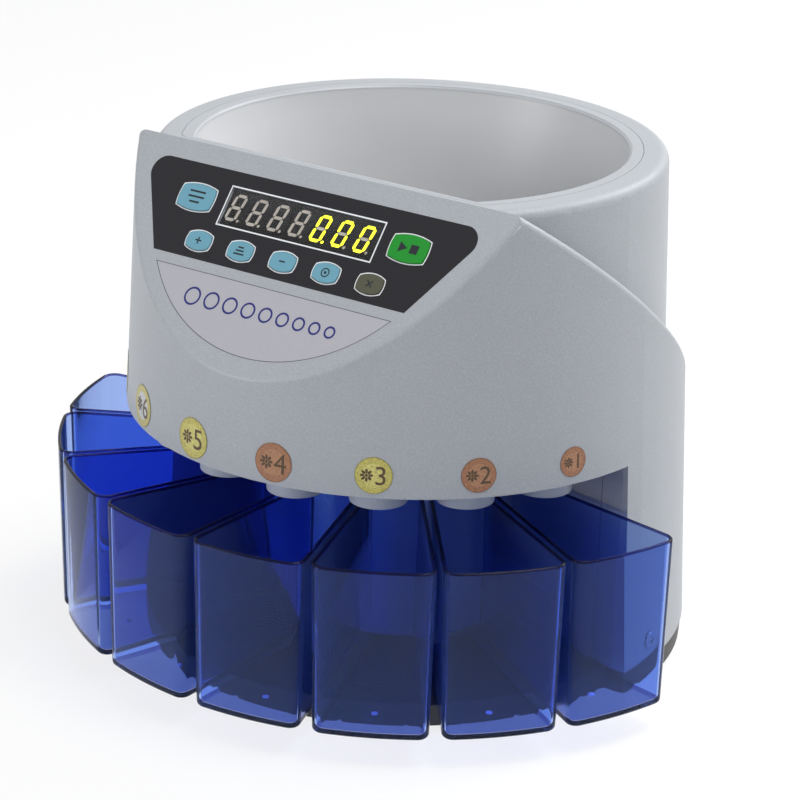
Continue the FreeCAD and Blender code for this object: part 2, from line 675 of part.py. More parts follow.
def make_pulley(radius, bore, x, y):
    """Flanged flat-belt pulley with a recessed web."""
    z0, z1 = PULLEY_Z, PULLEY_Z + PULLEY_H
    edge = (PULLEY_H - BELT_W) / 2 - 0.5
    flange = radius + BELT_T + 1.5
    pulley = revolved([(0, z0), (flange, z0), (flange, z0 + edge), (radius, z0 + edge),
                       (radius, z1 - edge), (flange, z1 - edge), (flange, z1), (0, z1)])
    web = radius - 4
    hub = bore + 7
    if web > hub + 6:
        pulley = pulley.cut(tube(web, hub, z1 - 4, z1 + 1)).cut(tube(web, hub, z0 - 1, z0 + 4))
    return pulley.cut(cylinder(bore, z0 - 1, z1 + 1)).translated(V(x, y, 0))


def make_belt():
    """Flat belt: the two pulleys' common tangents and outer arcs."""
    z0 = PULLEY_Z + (PULLEY_H - BELT_W) / 2

    def loop(gap):
        big, small = PULLEY_R + gap, MOTOR_PULLEY_R + gap
        lean = math.asin((big - small) / MOTOR_Y)
        c, s = math.cos(lean), math.sin(lean)
        a, b = V(big * c, big * s, z0), V(small * c, MOTOR_Y + small * s, z0)
        a2, b2 = V(-a.x, a.y, z0), V(-b.x, b.y, z0)
        edges = [Part.makeLine(a, b), Part.Arc(b, V(0, MOTOR_Y + small, z0), b2).toShape(),
                 Part.makeLine(b2, a2), Part.Arc(a2, V(0, -big, z0), a).toShape()]
        return Part.Face(Part.Wire(edges)).extrude(V(0, 0, BELT_W))
    return loop(BELT_GAP + BELT_T).cut(loop(BELT_GAP))


def make_motor():
    """Can motor hung under its bracket, with a boss round the shaft."""
    top = BRACKET_Z
    can = cylinder(MOTOR_R, top - MOTOR_H, top, 0, MOTOR_Y)
    rims = [e for e in can.Edges if e.Curve.TypeId == "Part::GeomCircle"]
    can = can.makeFillet(3, rims)
    boss = cylinder(9, top - 1, top + BRACKET_T, 0, MOTOR_Y)
    vent = block(-1.2, 1.2, -MOTOR_R - 1, -MOTOR_R + 4, top - MOTOR_H + 9, top - 12)
    motor = can.fuse(boss)
    for azimuth in range(0, 360, 45):
        motor = motor.cut(turned(vent, azimuth).translated(V(0, MOTOR_Y, 0)))
    bore = cylinder(MOTOR_SHAFT_R + RUNNING, top - 14, top + BRACKET_T + 1, 0, MOTOR_Y)
    return motor.cut(bore)


def make_motor_bracket():
    """Folded plate on four base posts that carries the motor."""
    side, depth = BRACKET_X + 6, 34
    plate = block(-side, side, MOTOR_Y - depth, MOTOR_Y + depth, BRACKET_Z, BRACKET_Z + BRACKET_T)
    corners = [e for e in plate.Edges if e.BoundBox.ZLength > BRACKET_T * 0.9]
    plate = plate.makeFillet(6, corners).cut(cylinder(9, 0, HEIGHT, 0, MOTOR_Y))
    for x, y in bracket_places():
        plate = plate.cut(cylinder(1.7, 0, HEIGHT, x, y))
    return plate


def make_power_board():
    """Mains board on four stand-offs over the base."""
    half_w, half_d = POWER_W / 2, POWER_D / 2
    board = block(POWER_X - half_w, POWER_X + half_w, POWER_Y - half_d, POWER_Y + half_d,
                  POWER_Z, POWER_Z + BOARD_T)
    pieces = [board]
    for x in (POWER_X - half_w + POWER_EDGE, POWER_X + half_w - POWER_EDGE):
        for y in (POWER_Y - half_d + POWER_EDGE, POWER_Y + half_d - POWER_EDGE):
            pieces.append(cylinder(STANDOFF_R, BASE_TOP, POWER_Z, x, y))
    return merged(pieces)


def centred_block(x, y, width, depth, z0, z1):
    return block(x - width / 2, x + width / 2, y - depth / 2, y + depth / 2, z0, z1)


def make_transformer():
    """Laminated core with a coil that stands out at both ends."""
    z = POWER_Z + BOARD_T
    x = POWER_X - POWER_W / 2 + POWER_EDGE + CORE_W / 2
    lift = (CORE_H - COIL_H) / 2
    core = centred_block(x, POWER_Y, CORE_W, CORE_D, z, z + CORE_H)
    return core.fuse(centred_block(x, POWER_Y, COIL_W, COIL_D, z + lift, z + lift + COIL_H))


def make_capacitors():
    z = POWER_Z + BOARD_T
    x = POWER_X + POWER_W / 2 - POWER_EDGE - CAPACITOR_R
    places = [POWER_Y + CAPACITOR_PITCH * i for i in (-1, 0, 1)]
    return Part.Compound([cylinder(CAPACITOR_R, z, z + CAPACITOR_H, x, y) for y in places])


def make_control_board():
    half = BIG_KEY_X + BIG_KEY_W / 2
    return panel_placed(panel_block(-half, half, 18, 56, -BOARD_DEPTH - BOARD_T, -BOARD_DEPTH))


def make_key_switches():
    """Tact switches under the keys, each with a round plunger."""
    switches = []
    gap = 0.2
    tip = -WALL - 0.5 - KEY_TRAVEL - gap
    for _, x, s, _, _ in key_layout():
        h = SWITCH_SIDE / 2
        body = panel_block(x - h, x + h, s - h, s + h, -BOARD_DEPTH, tip - 1)
        stem = Part.makeCylinder(1.7, 1.5, V(x, -s, tip - 1.5))
        switches.append(panel_placed(body.fuse(stem)))
    return Part.Compound(switches)


def make_display(first, count):
    """One block of digits behind the window, first counted from the left."""
    x0 = (first - (LEFT_DIGITS + RIGHT_DIGITS) / 2) * DIGIT_PITCH
    x1 = x0 + count * DIGIT_PITCH
    half = WINDOW_H / 2 - 0.3
    body = panel_block(x0 + 0.1, x1 - 0.1, WINDOW_S - half, WINDOW_S + half, -BOARD_DEPTH, -OVERLAY_T)
    return panel_placed(body)


def make_window():
    body = panel_block(-WINDOW_W / 2, WINDOW_W / 2, WINDOW_S - WINDOW_H / 2, WINDOW_S + WINDOW_H / 2,
                       -OVERLAY_T, 0)
    return panel_placed(body)


def make_overlay():
    """Panel film with openings for the window and the keys."""
    film = overlay_solid(-OVERLAY_T, 0)
    film = film.cut(panel_block(-WINDOW_W / 2, WINDOW_W / 2, WINDOW_S - WINDOW_H / 2,
                                WINDOW_S + WINDOW_H / 2, -1, 1))
    for _, x, s, width, height in key_layout():
        hole = barrel_face(width + 2 * KEY_GAP, height + 2 * KEY_GAP).extrude(V(0, 0, 2))
        film = film.cut(hole.translated(V(x, -s, -1)))
    return panel_placed(film)


def make_key(x, s, width, height):
    """A key cap that passes through the panel, with a softened top edge."""
    cap = barrel_face(width, height).extrude(V(0, 0, WALL + 0.5 + KEY_RISE))
    crown = [e for e in cap.Edges if e.BoundBox.ZMin > WALL + 0.4 + KEY_RISE]
    cap = cap.makeFillet(0.4, crown)
    return panel_placed(cap.translated(V(x, -s, -WALL - 0.5)))


def pocket_piece(shape):
    """Move a piece drawn facing -Y at the origin onto the pocket's flat."""
    return turned(shape.translated(V(0, -pocket_distance(), POCKET_Z)), POCKET_AZIMUTH)


def inlet_x():
    return -POCKET_W / 2 + 4 + INLET_W / 2


def switch_x():
    return POCKET_W / 2 - 4 - 1 - ROCKER_W / 2


def make_inlet():
    """Three-pin mains inlet: flange, body and a cavity with two cut corners."""
    w, h = INLET_W / 2, INLET_H / 2
    flange = block(-w - 2, w + 2, -2, 0, -h - 2, h + 2)
    body = block(-w + 0.2, w - 0.2, -1, 16, -h + 0.2, h - 0.2)
    hole = [V(-w + 2.5, -3, -h + 2.5), V(w - 2.5, -3, -h + 2.5), V(w - 2.5, -3, h - 6),
            V(w - 6, -3, h - 2.5), V(-w + 6, -3, h - 2.5), V(-w + 2.5, -3, h - 6)]
    body = flange.fuse(body).cut(prism(hole, V(0, 16, 0)))
    return pocket_piece(body.translated(V(inlet_x(), 0, 0)))


def make_inlet_pins():
    """Flat contact pins in the inlet."""
    pins = [block(x - 2, x + 2, 1, 13, z - 1, z + 1) for x, z in ((-7, -1.5), (0, 2.5), (7, -1.5))]
    return Part.Compound([pocket_piece(pin.translated(V(inlet_x(), 0, 0))) for pin in pins])


def make_switch_body():
    """Rocker switch frame: bezel and a hollow body with a pivot seat."""
    w, h = ROCKER_W / 2, ROCKER_H / 2
    bezel = block(-w - 2.2, w + 2.2, -1.6, 0, -h - 2.2, h + 2.2)
    body = block(-w - 0.9, w + 0.9, -1, 14, -h - 0.9, h + 0.9)
    well = block(-w - 0.3, w + 0.3, -3, 9, -h - 0.3, h + 0.3)
    return pocket_piece(bezel.fuse(body).cut(well).translated(V(switch_x(), 0, 0)))


def make_rocker():
    """Rocker cap on a cross pin, resting tilted to its off side."""
    w, h = ROCKER_W / 2, ROCKER_H / 2
    top = [V(-w, 4, -h + 1.2), V(-w, -2.6, -h + 0.9), V(-w, -1.4, 0), V(-w, -2.6, h - 0.9), V(-w, 4, h - 1.2)]
    cap = prism(top, V(2 * w, 0, 0))
    cap = cap.rotated(V(0, 3, 0), V(1, 0, 0), ROCKER_TILT)
    return pocket_piece(cap.translated(V(switch_x(), 0, 0)))


def make_housing_screws():
    screw = pan_screw(11, 3.6).translated(V(0, 0, 0.3))
    return Part.Compound(housing_screw_places(screw))


def make_bearing_screws():
    z = DECK_Z + DECK_T
    return Part.Compound([pan_screw(6, 3.0).translated(V(x, y, z)) for x, y in bearing_screw_places()])


def make_bracket_screws():
    z = BRACKET_Z + BRACKET_T
    return Part.Compound([pan_screw(10, 3.2).translated(V(x, y, z)) for x, y in bracket_places()])


def make_feet():
    """Short rubber pads with a bevelled edge."""
    pads = []
    for x, y in foot_places():
        pad = Part.makeCone(FOOT_R - 1, FOOT_R, FOOT_H, V(x, y, 0))
        pads.append(pad)
    return Part.Compound(pads)


def all_parts():
    """Every node and its solid, about the spindle axis."""
    parts = {
        "base_pan": make_base(),
        "rubber_feet": make_feet(),
        "outer_housing": make_housing(),
        "hopper_bowl": make_bowl(),
        "drum_wall": make_drum_wall(),
        "chute_deck": make_deck(),
        "sorting_rail": make_rail(),
        "coin_sensors": make_sensors(),
        "coin_stickers": make_stickers(),
        "coin_disc": make_coin_disc(),
        "disc_mat": make_disc_mat(),
        "disc_nut": make_disc_nut(),
        "spindle": make_spindle(),
        "upper_bearing": make_bearing(DECK_Z - BEARING_H),
        "lower_bearing": make_bearing(DECK_Z - DRIVE_LENGTH),
        "bearing_housing": make_bearing_housing(),
        "driven_pulley": make_pulley(PULLEY_R, SPINDLE_R, 0, 0),
        "motor_pulley": make_pulley(MOTOR_PULLEY_R, MOTOR_SHAFT_R, 0, MOTOR_Y),
        "drive_belt": make_belt(),
        "drive_motor": make_motor(),
        "motor_shaft": cylinder(MOTOR_SHAFT_R, BRACKET_Z - 13, PULLEY_Z + PULLEY_H + 2, 0, MOTOR_Y),
        "motor_bracket": make_motor_bracket(),
        "power_board": make_power_board(),
        "transformer": make_transformer(),
        "capacitors": make_capacitors(),
        "control_board": make_control_board(),
        "key_switches": make_key_switches(),
        "left_display": make_display(0, LEFT_DIGITS),
        "right_display": make_display(LEFT_DIGITS, RIGHT_DIGITS),
        "display_window": make_window(),
        "panel_overlay": make_overlay(),
        "title_label": panel_placed(label_solid(-OVERLAY_T, 0)),
        "power_inlet": make_inlet(),
        "inlet_pins": make_inlet_pins(),
        "switch_body": make_switch_body(),
        "switch_rocker": make_rocker(),
        "housing_screws": make_housing_screws(),
        "bearing_screws": make_bearing_screws(),
        "bracket_screws": make_bracket_screws(),
    }
    for name, x, s, width, height in key_layout():
        parts[name] = make_key(x, s, width, height)
    cup = make_cup()
    for i, azimuth in enumerate(CUP_AZIMUTHS):
        parts["coin_cup_%d" % (i + 1)] = turned(cup, azimuth, V(0, CUP_SETBACK, 0))
    return parts


def main():
    os.makedirs("parts", exist_ok=True)
    for name, shape in all_parts().items():
        shape.translated(V(0, AXIS_Y, 0)).exportStep("parts/%s.step" % name)


if __name__ == "__main__":
    main()
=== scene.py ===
"""Looks of the coin sorting machine: finishes, printed panel, display, stickers, cups, light and camera.

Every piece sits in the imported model's frame, in metres. The panel's flat, the cups and the stickers' seats
are read from the frame, and each new surface is worked out from a formula on whole arrays.
"""
from __future__ import annotations

import json
import logging
import math
from dataclasses import dataclass, field
from enum import Enum
from typing import Sequence

import bpy
import numpy as np
from mathutils import Matrix, Vector

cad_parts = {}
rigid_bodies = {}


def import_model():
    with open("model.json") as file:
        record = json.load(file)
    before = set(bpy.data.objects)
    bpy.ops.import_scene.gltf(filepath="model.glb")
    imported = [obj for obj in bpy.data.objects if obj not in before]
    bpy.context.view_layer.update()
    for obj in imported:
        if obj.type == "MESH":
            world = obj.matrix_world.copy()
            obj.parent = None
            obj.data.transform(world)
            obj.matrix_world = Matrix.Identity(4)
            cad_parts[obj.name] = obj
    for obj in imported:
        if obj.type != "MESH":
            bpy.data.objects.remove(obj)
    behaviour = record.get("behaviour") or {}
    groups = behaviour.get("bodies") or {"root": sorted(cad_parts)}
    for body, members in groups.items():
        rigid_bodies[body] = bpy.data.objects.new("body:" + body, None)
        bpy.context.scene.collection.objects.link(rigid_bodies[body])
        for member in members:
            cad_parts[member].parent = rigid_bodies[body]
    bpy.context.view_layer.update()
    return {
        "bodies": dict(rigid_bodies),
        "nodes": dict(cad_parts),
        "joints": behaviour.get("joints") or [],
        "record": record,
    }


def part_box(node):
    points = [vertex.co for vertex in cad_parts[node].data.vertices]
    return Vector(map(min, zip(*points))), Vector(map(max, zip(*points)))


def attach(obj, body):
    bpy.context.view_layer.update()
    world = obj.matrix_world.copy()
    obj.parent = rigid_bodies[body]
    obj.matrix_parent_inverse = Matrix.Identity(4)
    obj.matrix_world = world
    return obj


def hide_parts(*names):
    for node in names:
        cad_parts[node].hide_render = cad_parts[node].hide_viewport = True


LOG = logging.getLogger("coin_sorter")
MM = 0.001
MACHINE = "machine"
# Repeats of a moulding's grain in a metre, the range in use of a noise, and the points of a small ring
FINE_GRAIN = 1500.0
NOISE_SPAN = (0.3, 0.7)
SMALL_RING = 20
Triple = tuple[float, float, float]
Colour = Triple
Node = bpy.types.Node
Piece = bpy.types.Object


def srgb(red: int, green: int, blue: int) -> Colour:
    """Linear colour of an 8-bit screen colour, by the screen's standard curve.

    Args:
        red, green, blue: Screen values from 0 to 255.

    Returns:
        The linear colour.
    """
    part = np.array([red, green, blue]) / 255
    linear = np.where(part <= 0.04045, part / 12.92, ((part + 0.055) / 1.055) ** 2.4)
    return tuple(linear.tolist())


def tinted(colour: Colour, factor: float) -> Colour:
    """A lighter or darker copy of a colour."""
    return tuple(min(1.0, part * factor) for part in colour)


def grey(value: float) -> Colour:
    """A neutral linear colour."""
    return value, value, value


class Ink(Enum):
    """Inks of the printed panel and the stickers."""

    WHITE = srgb(226, 228, 230)
    NAVY = srgb(34, 38, 110)
    DARK = srgb(24, 30, 36)
    LINE = srgb(88, 90, 98)
    BROWN = srgb(84, 66, 48)

    @property
    def finish(self) -> str:
        """Name of the ink's finish."""
        return "ink_" + self.name.lower()


class Wiring:
    """A node tree with short calls for adding and joining nodes."""

    def __init__(self, tree: bpy.types.NodeTree) -> None:
        """Take a tree and empty it."""
        self.tree = tree
        self.tree.nodes.clear()

    def add(self, kind: str, **settings: object) -> Node:
        """Add a node; settings name its sockets with underscores for spaces, or its properties.

        Args:
            kind: Blender's node type.
            settings: Socket values or node properties.

        Returns:
            The new node.
        """
        node = self.tree.nodes.new(kind)
        for key, value in settings.items():
            socket = node.inputs.get(key.replace("_", " "))
            if socket is not None:
                socket.default_value = value
            else:
                setattr(node, key, value)
        return node

    def join(self, source: Node, output: str | int, target: Node, socket: str | int) -> None:
        """Link one node's output to another's input."""
        self.tree.links.new(source.outputs[output], target.inputs[socket])

    def mixed(self, share: Node, output: str | int, shaders: tuple[Node, Node], target: Node) -> None:
        """Send a mix of two shaders to an output node.

        Args:
            share: Node that gives the second shader's share.
            output: The share's output on it.
            shaders: The two shaders.
            target: The output node.
        """
        blend = self.add("ShaderNodeMixShader")
        self.join(share, output, blend, 0)
        for socket, shader in enumerate(shaders, start=1):
            self.join(shader, 0, blend, socket)
        self.join(blend, "Shader", target, "Surface")


class NodeBook(Wiring):
    """A material's node tree, which starts with a principled surface."""

    def __init__(self, name: str) -> None:
        """Start a material that has only its surface.

        Args:
            name: The material's name.
        """
        self.material = bpy.data.materials.new(name)
        self.material.use_nodes = True
        super().__init__(self.material.node_tree)
        self.out = self.add("ShaderNodeOutputMaterial")
        self.surface = self.add("ShaderNodeBsdfPrincipled")
        self.join(self.surface, "BSDF", self.out, "Surface")

    def part(self, kind: str) -> Node:
        """Split one kind of texture coordinates into its parts.

        Args:
            kind: Output of the coordinate node.

        Returns:
            The node with outputs X, Y and Z.
        """
        place = self.add("ShaderNodeTexCoord")
        parts = self.add("ShaderNodeSeparateXYZ")
        self.join(place, kind, parts, "Vector")
        return parts

    def noise(self, scale: float | Triple, detail: float) -> Node:
        """Noise on object coordinates.

        Args:
            scale: Repeats per metre, for all axes or for each.
            detail: Octaves of finer noise.

        Returns:
            The noise node.
        """
        place = self.add("ShaderNodeTexCoord")
        mapping = self.add("ShaderNodeMapping", Scale=np.broadcast_to(scale, 3).tolist())
        self.join(place, "Object", mapping, "Vector")
        texture = self.add("ShaderNodeTexNoise", Scale=1.0, Detail=detail)
        self.join(mapping, "Vector", texture, "Vector")
        return texture

    def ramp(self, source: Node, output: str, stops: Sequence[tuple[float, Colour]]) -> Node:
        """Colour ramp over a factor.

        Args:
            source: Node that gives the factor.
            output: Its output's name.
            stops: Positions and linear colours in rising order.

        Returns:
            The ramp node.
        """
        node = self.add("ShaderNodeValToRGB")
        elements = node.color_ramp.elements
        while len(elements) < len(stops):
            elements.new(1.0)
        for element, (position, colour) in zip(elements, stops):
            element.position = position
            element.color = (*colour, 1.0)
        self.join(source, output, node, "Fac")
        return node

    def mottled(self, noise: Node, dark: Colour, light: Colour) -> Node:
        """Ramp from a dark to a light colour over a noise's middle range."""
        return self.ramp(noise, "Fac", list(zip(NOISE_SPAN, (dark, light))))

    def shaded(self, tone: Node, shade: Node, share: float = 1.0) -> None:
        """Colour the surface by one ramp times another.

        Args:
            tone: Ramp of the body colour.
            shade: Ramp that darkens it.
            share: How much of the shade is taken.
        """
        blend = self.add("ShaderNodeMix", data_type="RGBA", blend_type="MULTIPLY")
        blend.inputs[0].default_value = share
        self.join(tone, "Color", blend, 6)
        self.join(shade, "Color", blend, 7)
        self.join(blend, 2, self.surface, "Base Color")

    def roughened(self, noise: Node, low: float, high: float) -> None:
        """Let a noise carry the surface's roughness.

        Args:
            noise: The noise node.
            low, high: Roughness at the ends of the noise's middle range.
        """
        least, most = NOISE_SPAN
        rough = self.add("ShaderNodeMapRange", From_Min=least, From_Max=most, To_Min=low, To_Max=high)
        self.join(noise, "Fac", rough, "Value")
        self.join(rough, "Result", self.surface, "Roughness")

    def bump(self, noise: Node, distance: float, strength: float = 1.0) -> None:
        """Add surface relief from a noise.

        Args:
            noise: The noise node.
            distance: Height of the relief in metres.
            strength: Its share.
        """
        node = self.add("ShaderNodeBump", Strength=strength, Distance=distance)
        self.join(noise, "Fac", node, "Height")
        self.join(node, "Normal", self.surface, "Normal")

    def set(self, **values: object) -> None:
        """Set constants on the principled surface, underscores standing for spaces."""
        for key, value in values.items():
            self.surface.inputs[key.replace("_", " ")].default_value = value


@dataclass(frozen=True)
class MouldedPlastic:
    """Moulded plastic with fine grain, slow cloudiness and a soft sheen."""

    name: str
    colour: Colour
    roughness: float = 0.42
    grain: float = 0.00008
    sparkle: float = 0.05
    specular: float = 0.5
    cloud_scale: float = 9.0

    def build(self) -> bpy.types.Material:
        """Grain in colour, roughness and relief on object coordinates.

        Returns:
            The material.
        """
        book = NodeBook(self.name)
        grain = book.noise(FINE_GRAIN, detail=2.0)
        cloud = book.noise(self.cloud_scale, detail=4.0)
        dark, light = tinted(self.colour, 1 - self.sparkle), tinted(self.colour, 1 + 1.6 * self.sparkle)
        fleck = book.ramp(grain, "Fac", [(0.30, dark), (0.55, self.colour), (0.74, light)])
        book.shaded(fleck, book.mottled(cloud, grey(0.965), grey(1.0)))
        book.roughened(grain, self.roughness - 0.05, self.roughness + 0.06)
        book.set(Specular_IOR_Level=self.specular)
        book.bump(grain, self.grain)
        return book.material


@dataclass(frozen=True)
class BowlPlastic:
    """Smooth funnel plastic: polished by coins inside, and the housing's own tone along its lip."""

    name: str
    lip: Colour
    funnel: Colour
    lip_z: float
    fade: float = 0.012
    roughness: float = 0.34
    specular: float = 0.3
    grain: float = 0.00003
    cloud_scale: float = 14.0

    def build(self) -> bpy.types.Material:
        """Tone by height, clouded and lightly grained.

        Returns:
            The material.
        """
        book = NodeBook(self.name)
        height = book.add("ShaderNodeMapRange", From_Min=self.lip_z - self.fade, From_Max=self.lip_z)
        book.join(book.part("Object"), "Z", height, "Value")
        stops = [(0.0, self.funnel), (0.8, tinted(self.funnel, 0.94)), (1.0, self.lip)]
        tone = book.ramp(height, "Result", stops)
        cloud = book.noise(self.cloud_scale, detail=4.0)
        book.shaded(tone, book.mottled(cloud, grey(0.95), grey(1.0)))
        book.set(Roughness=self.roughness, Specular_IOR_Level=self.specular)
        book.bump(book.noise(FINE_GRAIN, detail=2.0), self.grain)
        return book.material


@dataclass(frozen=True)
class ClearPlastic:
    """Clear tinted moulding: a wall passes the tint, its body scatters a share, and lamps shine through."""

    name: str
    tint: Colour
    roughness: float = 0.03
    ior: float = 1.20
    body: float = 0.0
    flow: float = 0.00003
    flow_scale: float = 35.0

    def build(self) -> bpy.types.Material:
        """Glass with faint flow marks, clear in its own tint to rays from lamps.

        Returns:
            The material.
        """
        book = NodeBook(self.name)
        book.set(Base_Color=(*self.tint, 1.0), Roughness=self.roughness, IOR=self.ior,
                 Transmission_Weight=1.0 - self.body)
        book.bump(book.noise(self.flow_scale, detail=2.0), self.flow, strength=0.25)
        # A lamp's ray crosses two faces in each wall, so each face takes the tint's root
        face = tuple(math.sqrt(part) for part in self.tint)
        clear = book.add("ShaderNodeBsdfTransparent", Color=(*face, 1.0))
        path = book.add("ShaderNodeLightPath")
        book.mixed(path, "Is Shadow Ray", (book.surface, clear), book.out)
        return book.material


@dataclass(frozen=True)
class PrintedFilm:
    """Printed polyester film: an even colour with fine tooth and a satin face."""

    name: str
    colour: Colour
    roughness: float = 0.35
    tooth: float = 0.00002
    specular: float = 0.3
    tooth_scale: float = 2600.0

    def build(self) -> bpy.types.Material:
        """Fine tooth in colour and relief.

        Returns:
            The material.
        """
        book = NodeBook(self.name)
        tooth = book.noise(self.tooth_scale, detail=2.0)
        tone = book.mottled(tooth, tinted(self.colour, 0.94), tinted(self.colour, 1.06))
        book.join(tone, "Color", book.surface, "Base Color")
        book.set(Roughness=self.roughness, Specular_IOR_Level=self.specular)
        book.bump(tooth, self.tooth)
        return book.material


@dataclass(frozen=True)
class LitSegment:
    """A display segment, lit or dark, with a soft uneven glow."""

    name: str
    colour: Colour
    strength: float = 0.0
    roughness: float = 0.45
    mottle_scale: float = 700.0

    def build(self) -> bpy.types.Material:
        """Diffuse body, with light of its own where it is lit.

        Returns:
            The material.
        """
        book = NodeBook(self.name)
        tone = book.mottled(book.noise(self.mottle_scale, detail=1.0), tinted(self.colour, 0.9), self.colour)
        book.join(tone, "Color", book.surface, "Base Color")
        if self.strength > 0:
            book.join(tone, "Color", book.surface, "Emission Color")
            book.set(Emission_Strength=self.strength)
        book.set(Roughness=self.roughness)
        return book.material


@dataclass(frozen=True)
class WorkedMetal:
    """Steel, zinc, brass or cast aluminium with fine brushing."""

    name: str
    colour: Colour
    roughness: float
    brush_scale: Triple = (300.0, 300.0, 2500.0)

    def build(self) -> bpy.types.Material:
        """Metal with streaks in colour and roughness.

        Returns:
            The material.
        """
        book = NodeBook(self.name)
        brush = book.noise(self.brush_scale, detail=3.0)
        tone = book.mottled(brush, tinted(self.colour, 0.85), self.colour)
        book.join(tone, "Color", book.surface, "Base Color")
        book.roughened(brush, self.roughness * 0.8, self.roughness * 1.3)
        book.set(Metallic=1.0)
        return book.material


@dataclass(frozen=True)
class StickerPrint:
    """Printed token: a centre and a ring colour by radius, with engraved-looking mottling."""

    name: str
    centre: Colour
    ring: Colour
    split: float = 0.66
    blur: float = 0.015
    roughness: float = 0.38
    relief: float = 0.00005
    mottle_scale: float = 1400.0

    def build(self) -> bpy.types.Material:
        """Colour by the radius in the UV map's first coordinate.

        Returns:
            The material.
        """
        book = NodeBook(self.name)
        stops = [(self.split - self.blur, self.centre), (self.split + self.blur, self.ring),
                 (0.93, self.ring), (0.97, tinted(self.ring, 0.62))]
        body = book.ramp(book.part("UV"), "X", stops)
        mottle = book.noise(self.mottle_scale, detail=5.0)
        shade = book.ramp(mottle, "Fac", [(0.32, grey(0.55)), (0.52, grey(0.98)), (0.7, grey(1.25))])
        book.shaded(body, shade, share=0.85)
        book.set(Roughness=self.roughness)
        book.bump(mottle, self.relief)
        return book.material


class Finishes:
    """All finishes of the machine, made once and found by name."""

    HOUSING_GREY = srgb(163, 167, 172)
    BOWL_GREY = srgb(213, 214, 216)

    def __init__(self, lip_z: float) -> None:
        """Build every material.

        Args:
            lip_z: Height of the bowl's lip.
        """
        made = [
            MouldedPlastic("housing_grey", self.HOUSING_GREY, sparkle=0.09, specular=0.35),
            BowlPlastic("bowl_grey", self.HOUSING_GREY, self.BOWL_GREY, lip_z),
            MouldedPlastic("inner_grey", self.HOUSING_GREY, roughness=0.38, sparkle=0.03),
            MouldedPlastic("base_black", srgb(40, 39, 41), roughness=0.5, sparkle=0.12),
            MouldedPlastic("part_black", srgb(28, 28, 30), roughness=0.4, sparkle=0.1),
            MouldedPlastic("disc_grey", srgb(98, 100, 104), roughness=0.35),
            MouldedPlastic("rubber", srgb(30, 30, 31), roughness=0.75, grain=0.00012, specular=0.25),
            MouldedPlastic("board_green", srgb(36, 92, 62), roughness=0.45),
            # The gate mark is real, but its lighter opaque blue is a painted highlight
            MouldedPlastic("cup_gate_painted_highlight", srgb(146, 156, 216), roughness=0.25),
            ClearPlastic("cup_blue", (0.34, 0.47, 0.87), ior=1.18, body=0.035),
            # Painted shade: a deep copy of the cup's blue for rims and foot rounds seen edge-on
            ClearPlastic("cup_edge_painted_shade", (0.02, 0.022, 0.15)),
            # Painted shadow: a dark copy of the cup's blue under each foot that stands for the shaded floor
            # beneath the cups
            ClearPlastic("cup_foot_painted_shadow", (0.12, 0.12, 0.25)),
            ClearPlastic("window_clear", (0.94, 0.95, 0.96), roughness=0.02, ior=1.12, flow=0.00001),
            PrintedFilm("overlay_black", srgb(36, 35, 39), roughness=0.5, specular=0.15),
            PrintedFilm("label_pale", srgb(170, 169, 176), roughness=0.42),
            PrintedFilm("key_blue", srgb(106, 156, 174), roughness=0.5, specular=0.2),
            PrintedFilm("key_green", srgb(32, 136, 44), roughness=0.5, specular=0.2),
            PrintedFilm("key_olive", srgb(80, 80, 66), roughness=0.5, specular=0.2),
            PrintedFilm("display_black", srgb(34, 33, 34), roughness=0.3),
            LitSegment("segment_lit", srgb(238, 240, 40), strength=1.0),
            LitSegment("segment_dark", srgb(138, 132, 124)),
            WorkedMetal("steel", srgb(190, 191, 194), 0.28),
            WorkedMetal("zinc", srgb(150, 153, 158), 0.4),
            WorkedMetal("aluminium", srgb(196, 198, 202), 0.38),
            WorkedMetal("brass", srgb(200, 172, 92), 0.3),
            StickerPrint("token_copper", srgb(168, 120, 86), srgb(156, 106, 74)),
            StickerPrint("token_brass", srgb(198, 190, 108), srgb(186, 176, 90)),
            StickerPrint("token_pale_centre", srgb(184, 186, 186), srgb(180, 170, 98)),
            StickerPrint("token_pale_ring", srgb(182, 172, 100), srgb(180, 182, 182)),
        ]
        made += [PrintedFilm(ink.finish, ink.value, roughness=0.4, tooth=0.00001) for ink in Ink]
        self.materials: dict[str, bpy.types.Material] = {finish.name: finish.build() for finish in made}
        LOG.info("%d finishes", len(self.materials))

    def dress(self, piece: Piece, name: str) -> Piece:
        """Give a piece one finish on all its faces.

        Args:
            piece: The object to dress.
            name: The finish's name.

        Returns:
            The same object.
        """
        piece.data.materials.clear()
        piece.data.materials.append(self.materials[name])
        return piece

    def fit(self, piece: Piece, finish: str, slot: str, body: str = MACHINE) -> Piece:
        """Dress a new piece and let it ride on a body.

        Args:
            piece: The new object.
            finish: The finish's name.
            slot: The record's slot; not used.
            body: The body that carries it.

        Returns:
            The same object.
        """
        self.dress(piece, finish)
        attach(piece, body)
        return piece


def linked(name: str, data: bpy.types.ID) -> Piece:
    """Put a mesh, a text, a lamp or a camera into the scene.

    Args:
        name: The object's name.
        data: What it holds.

    Returns:
        The new object, at the origin.
    """
    piece = bpy.data.objects.new(name, data)
    bpy.context.scene.collection.objects.link(piece)
    return piece


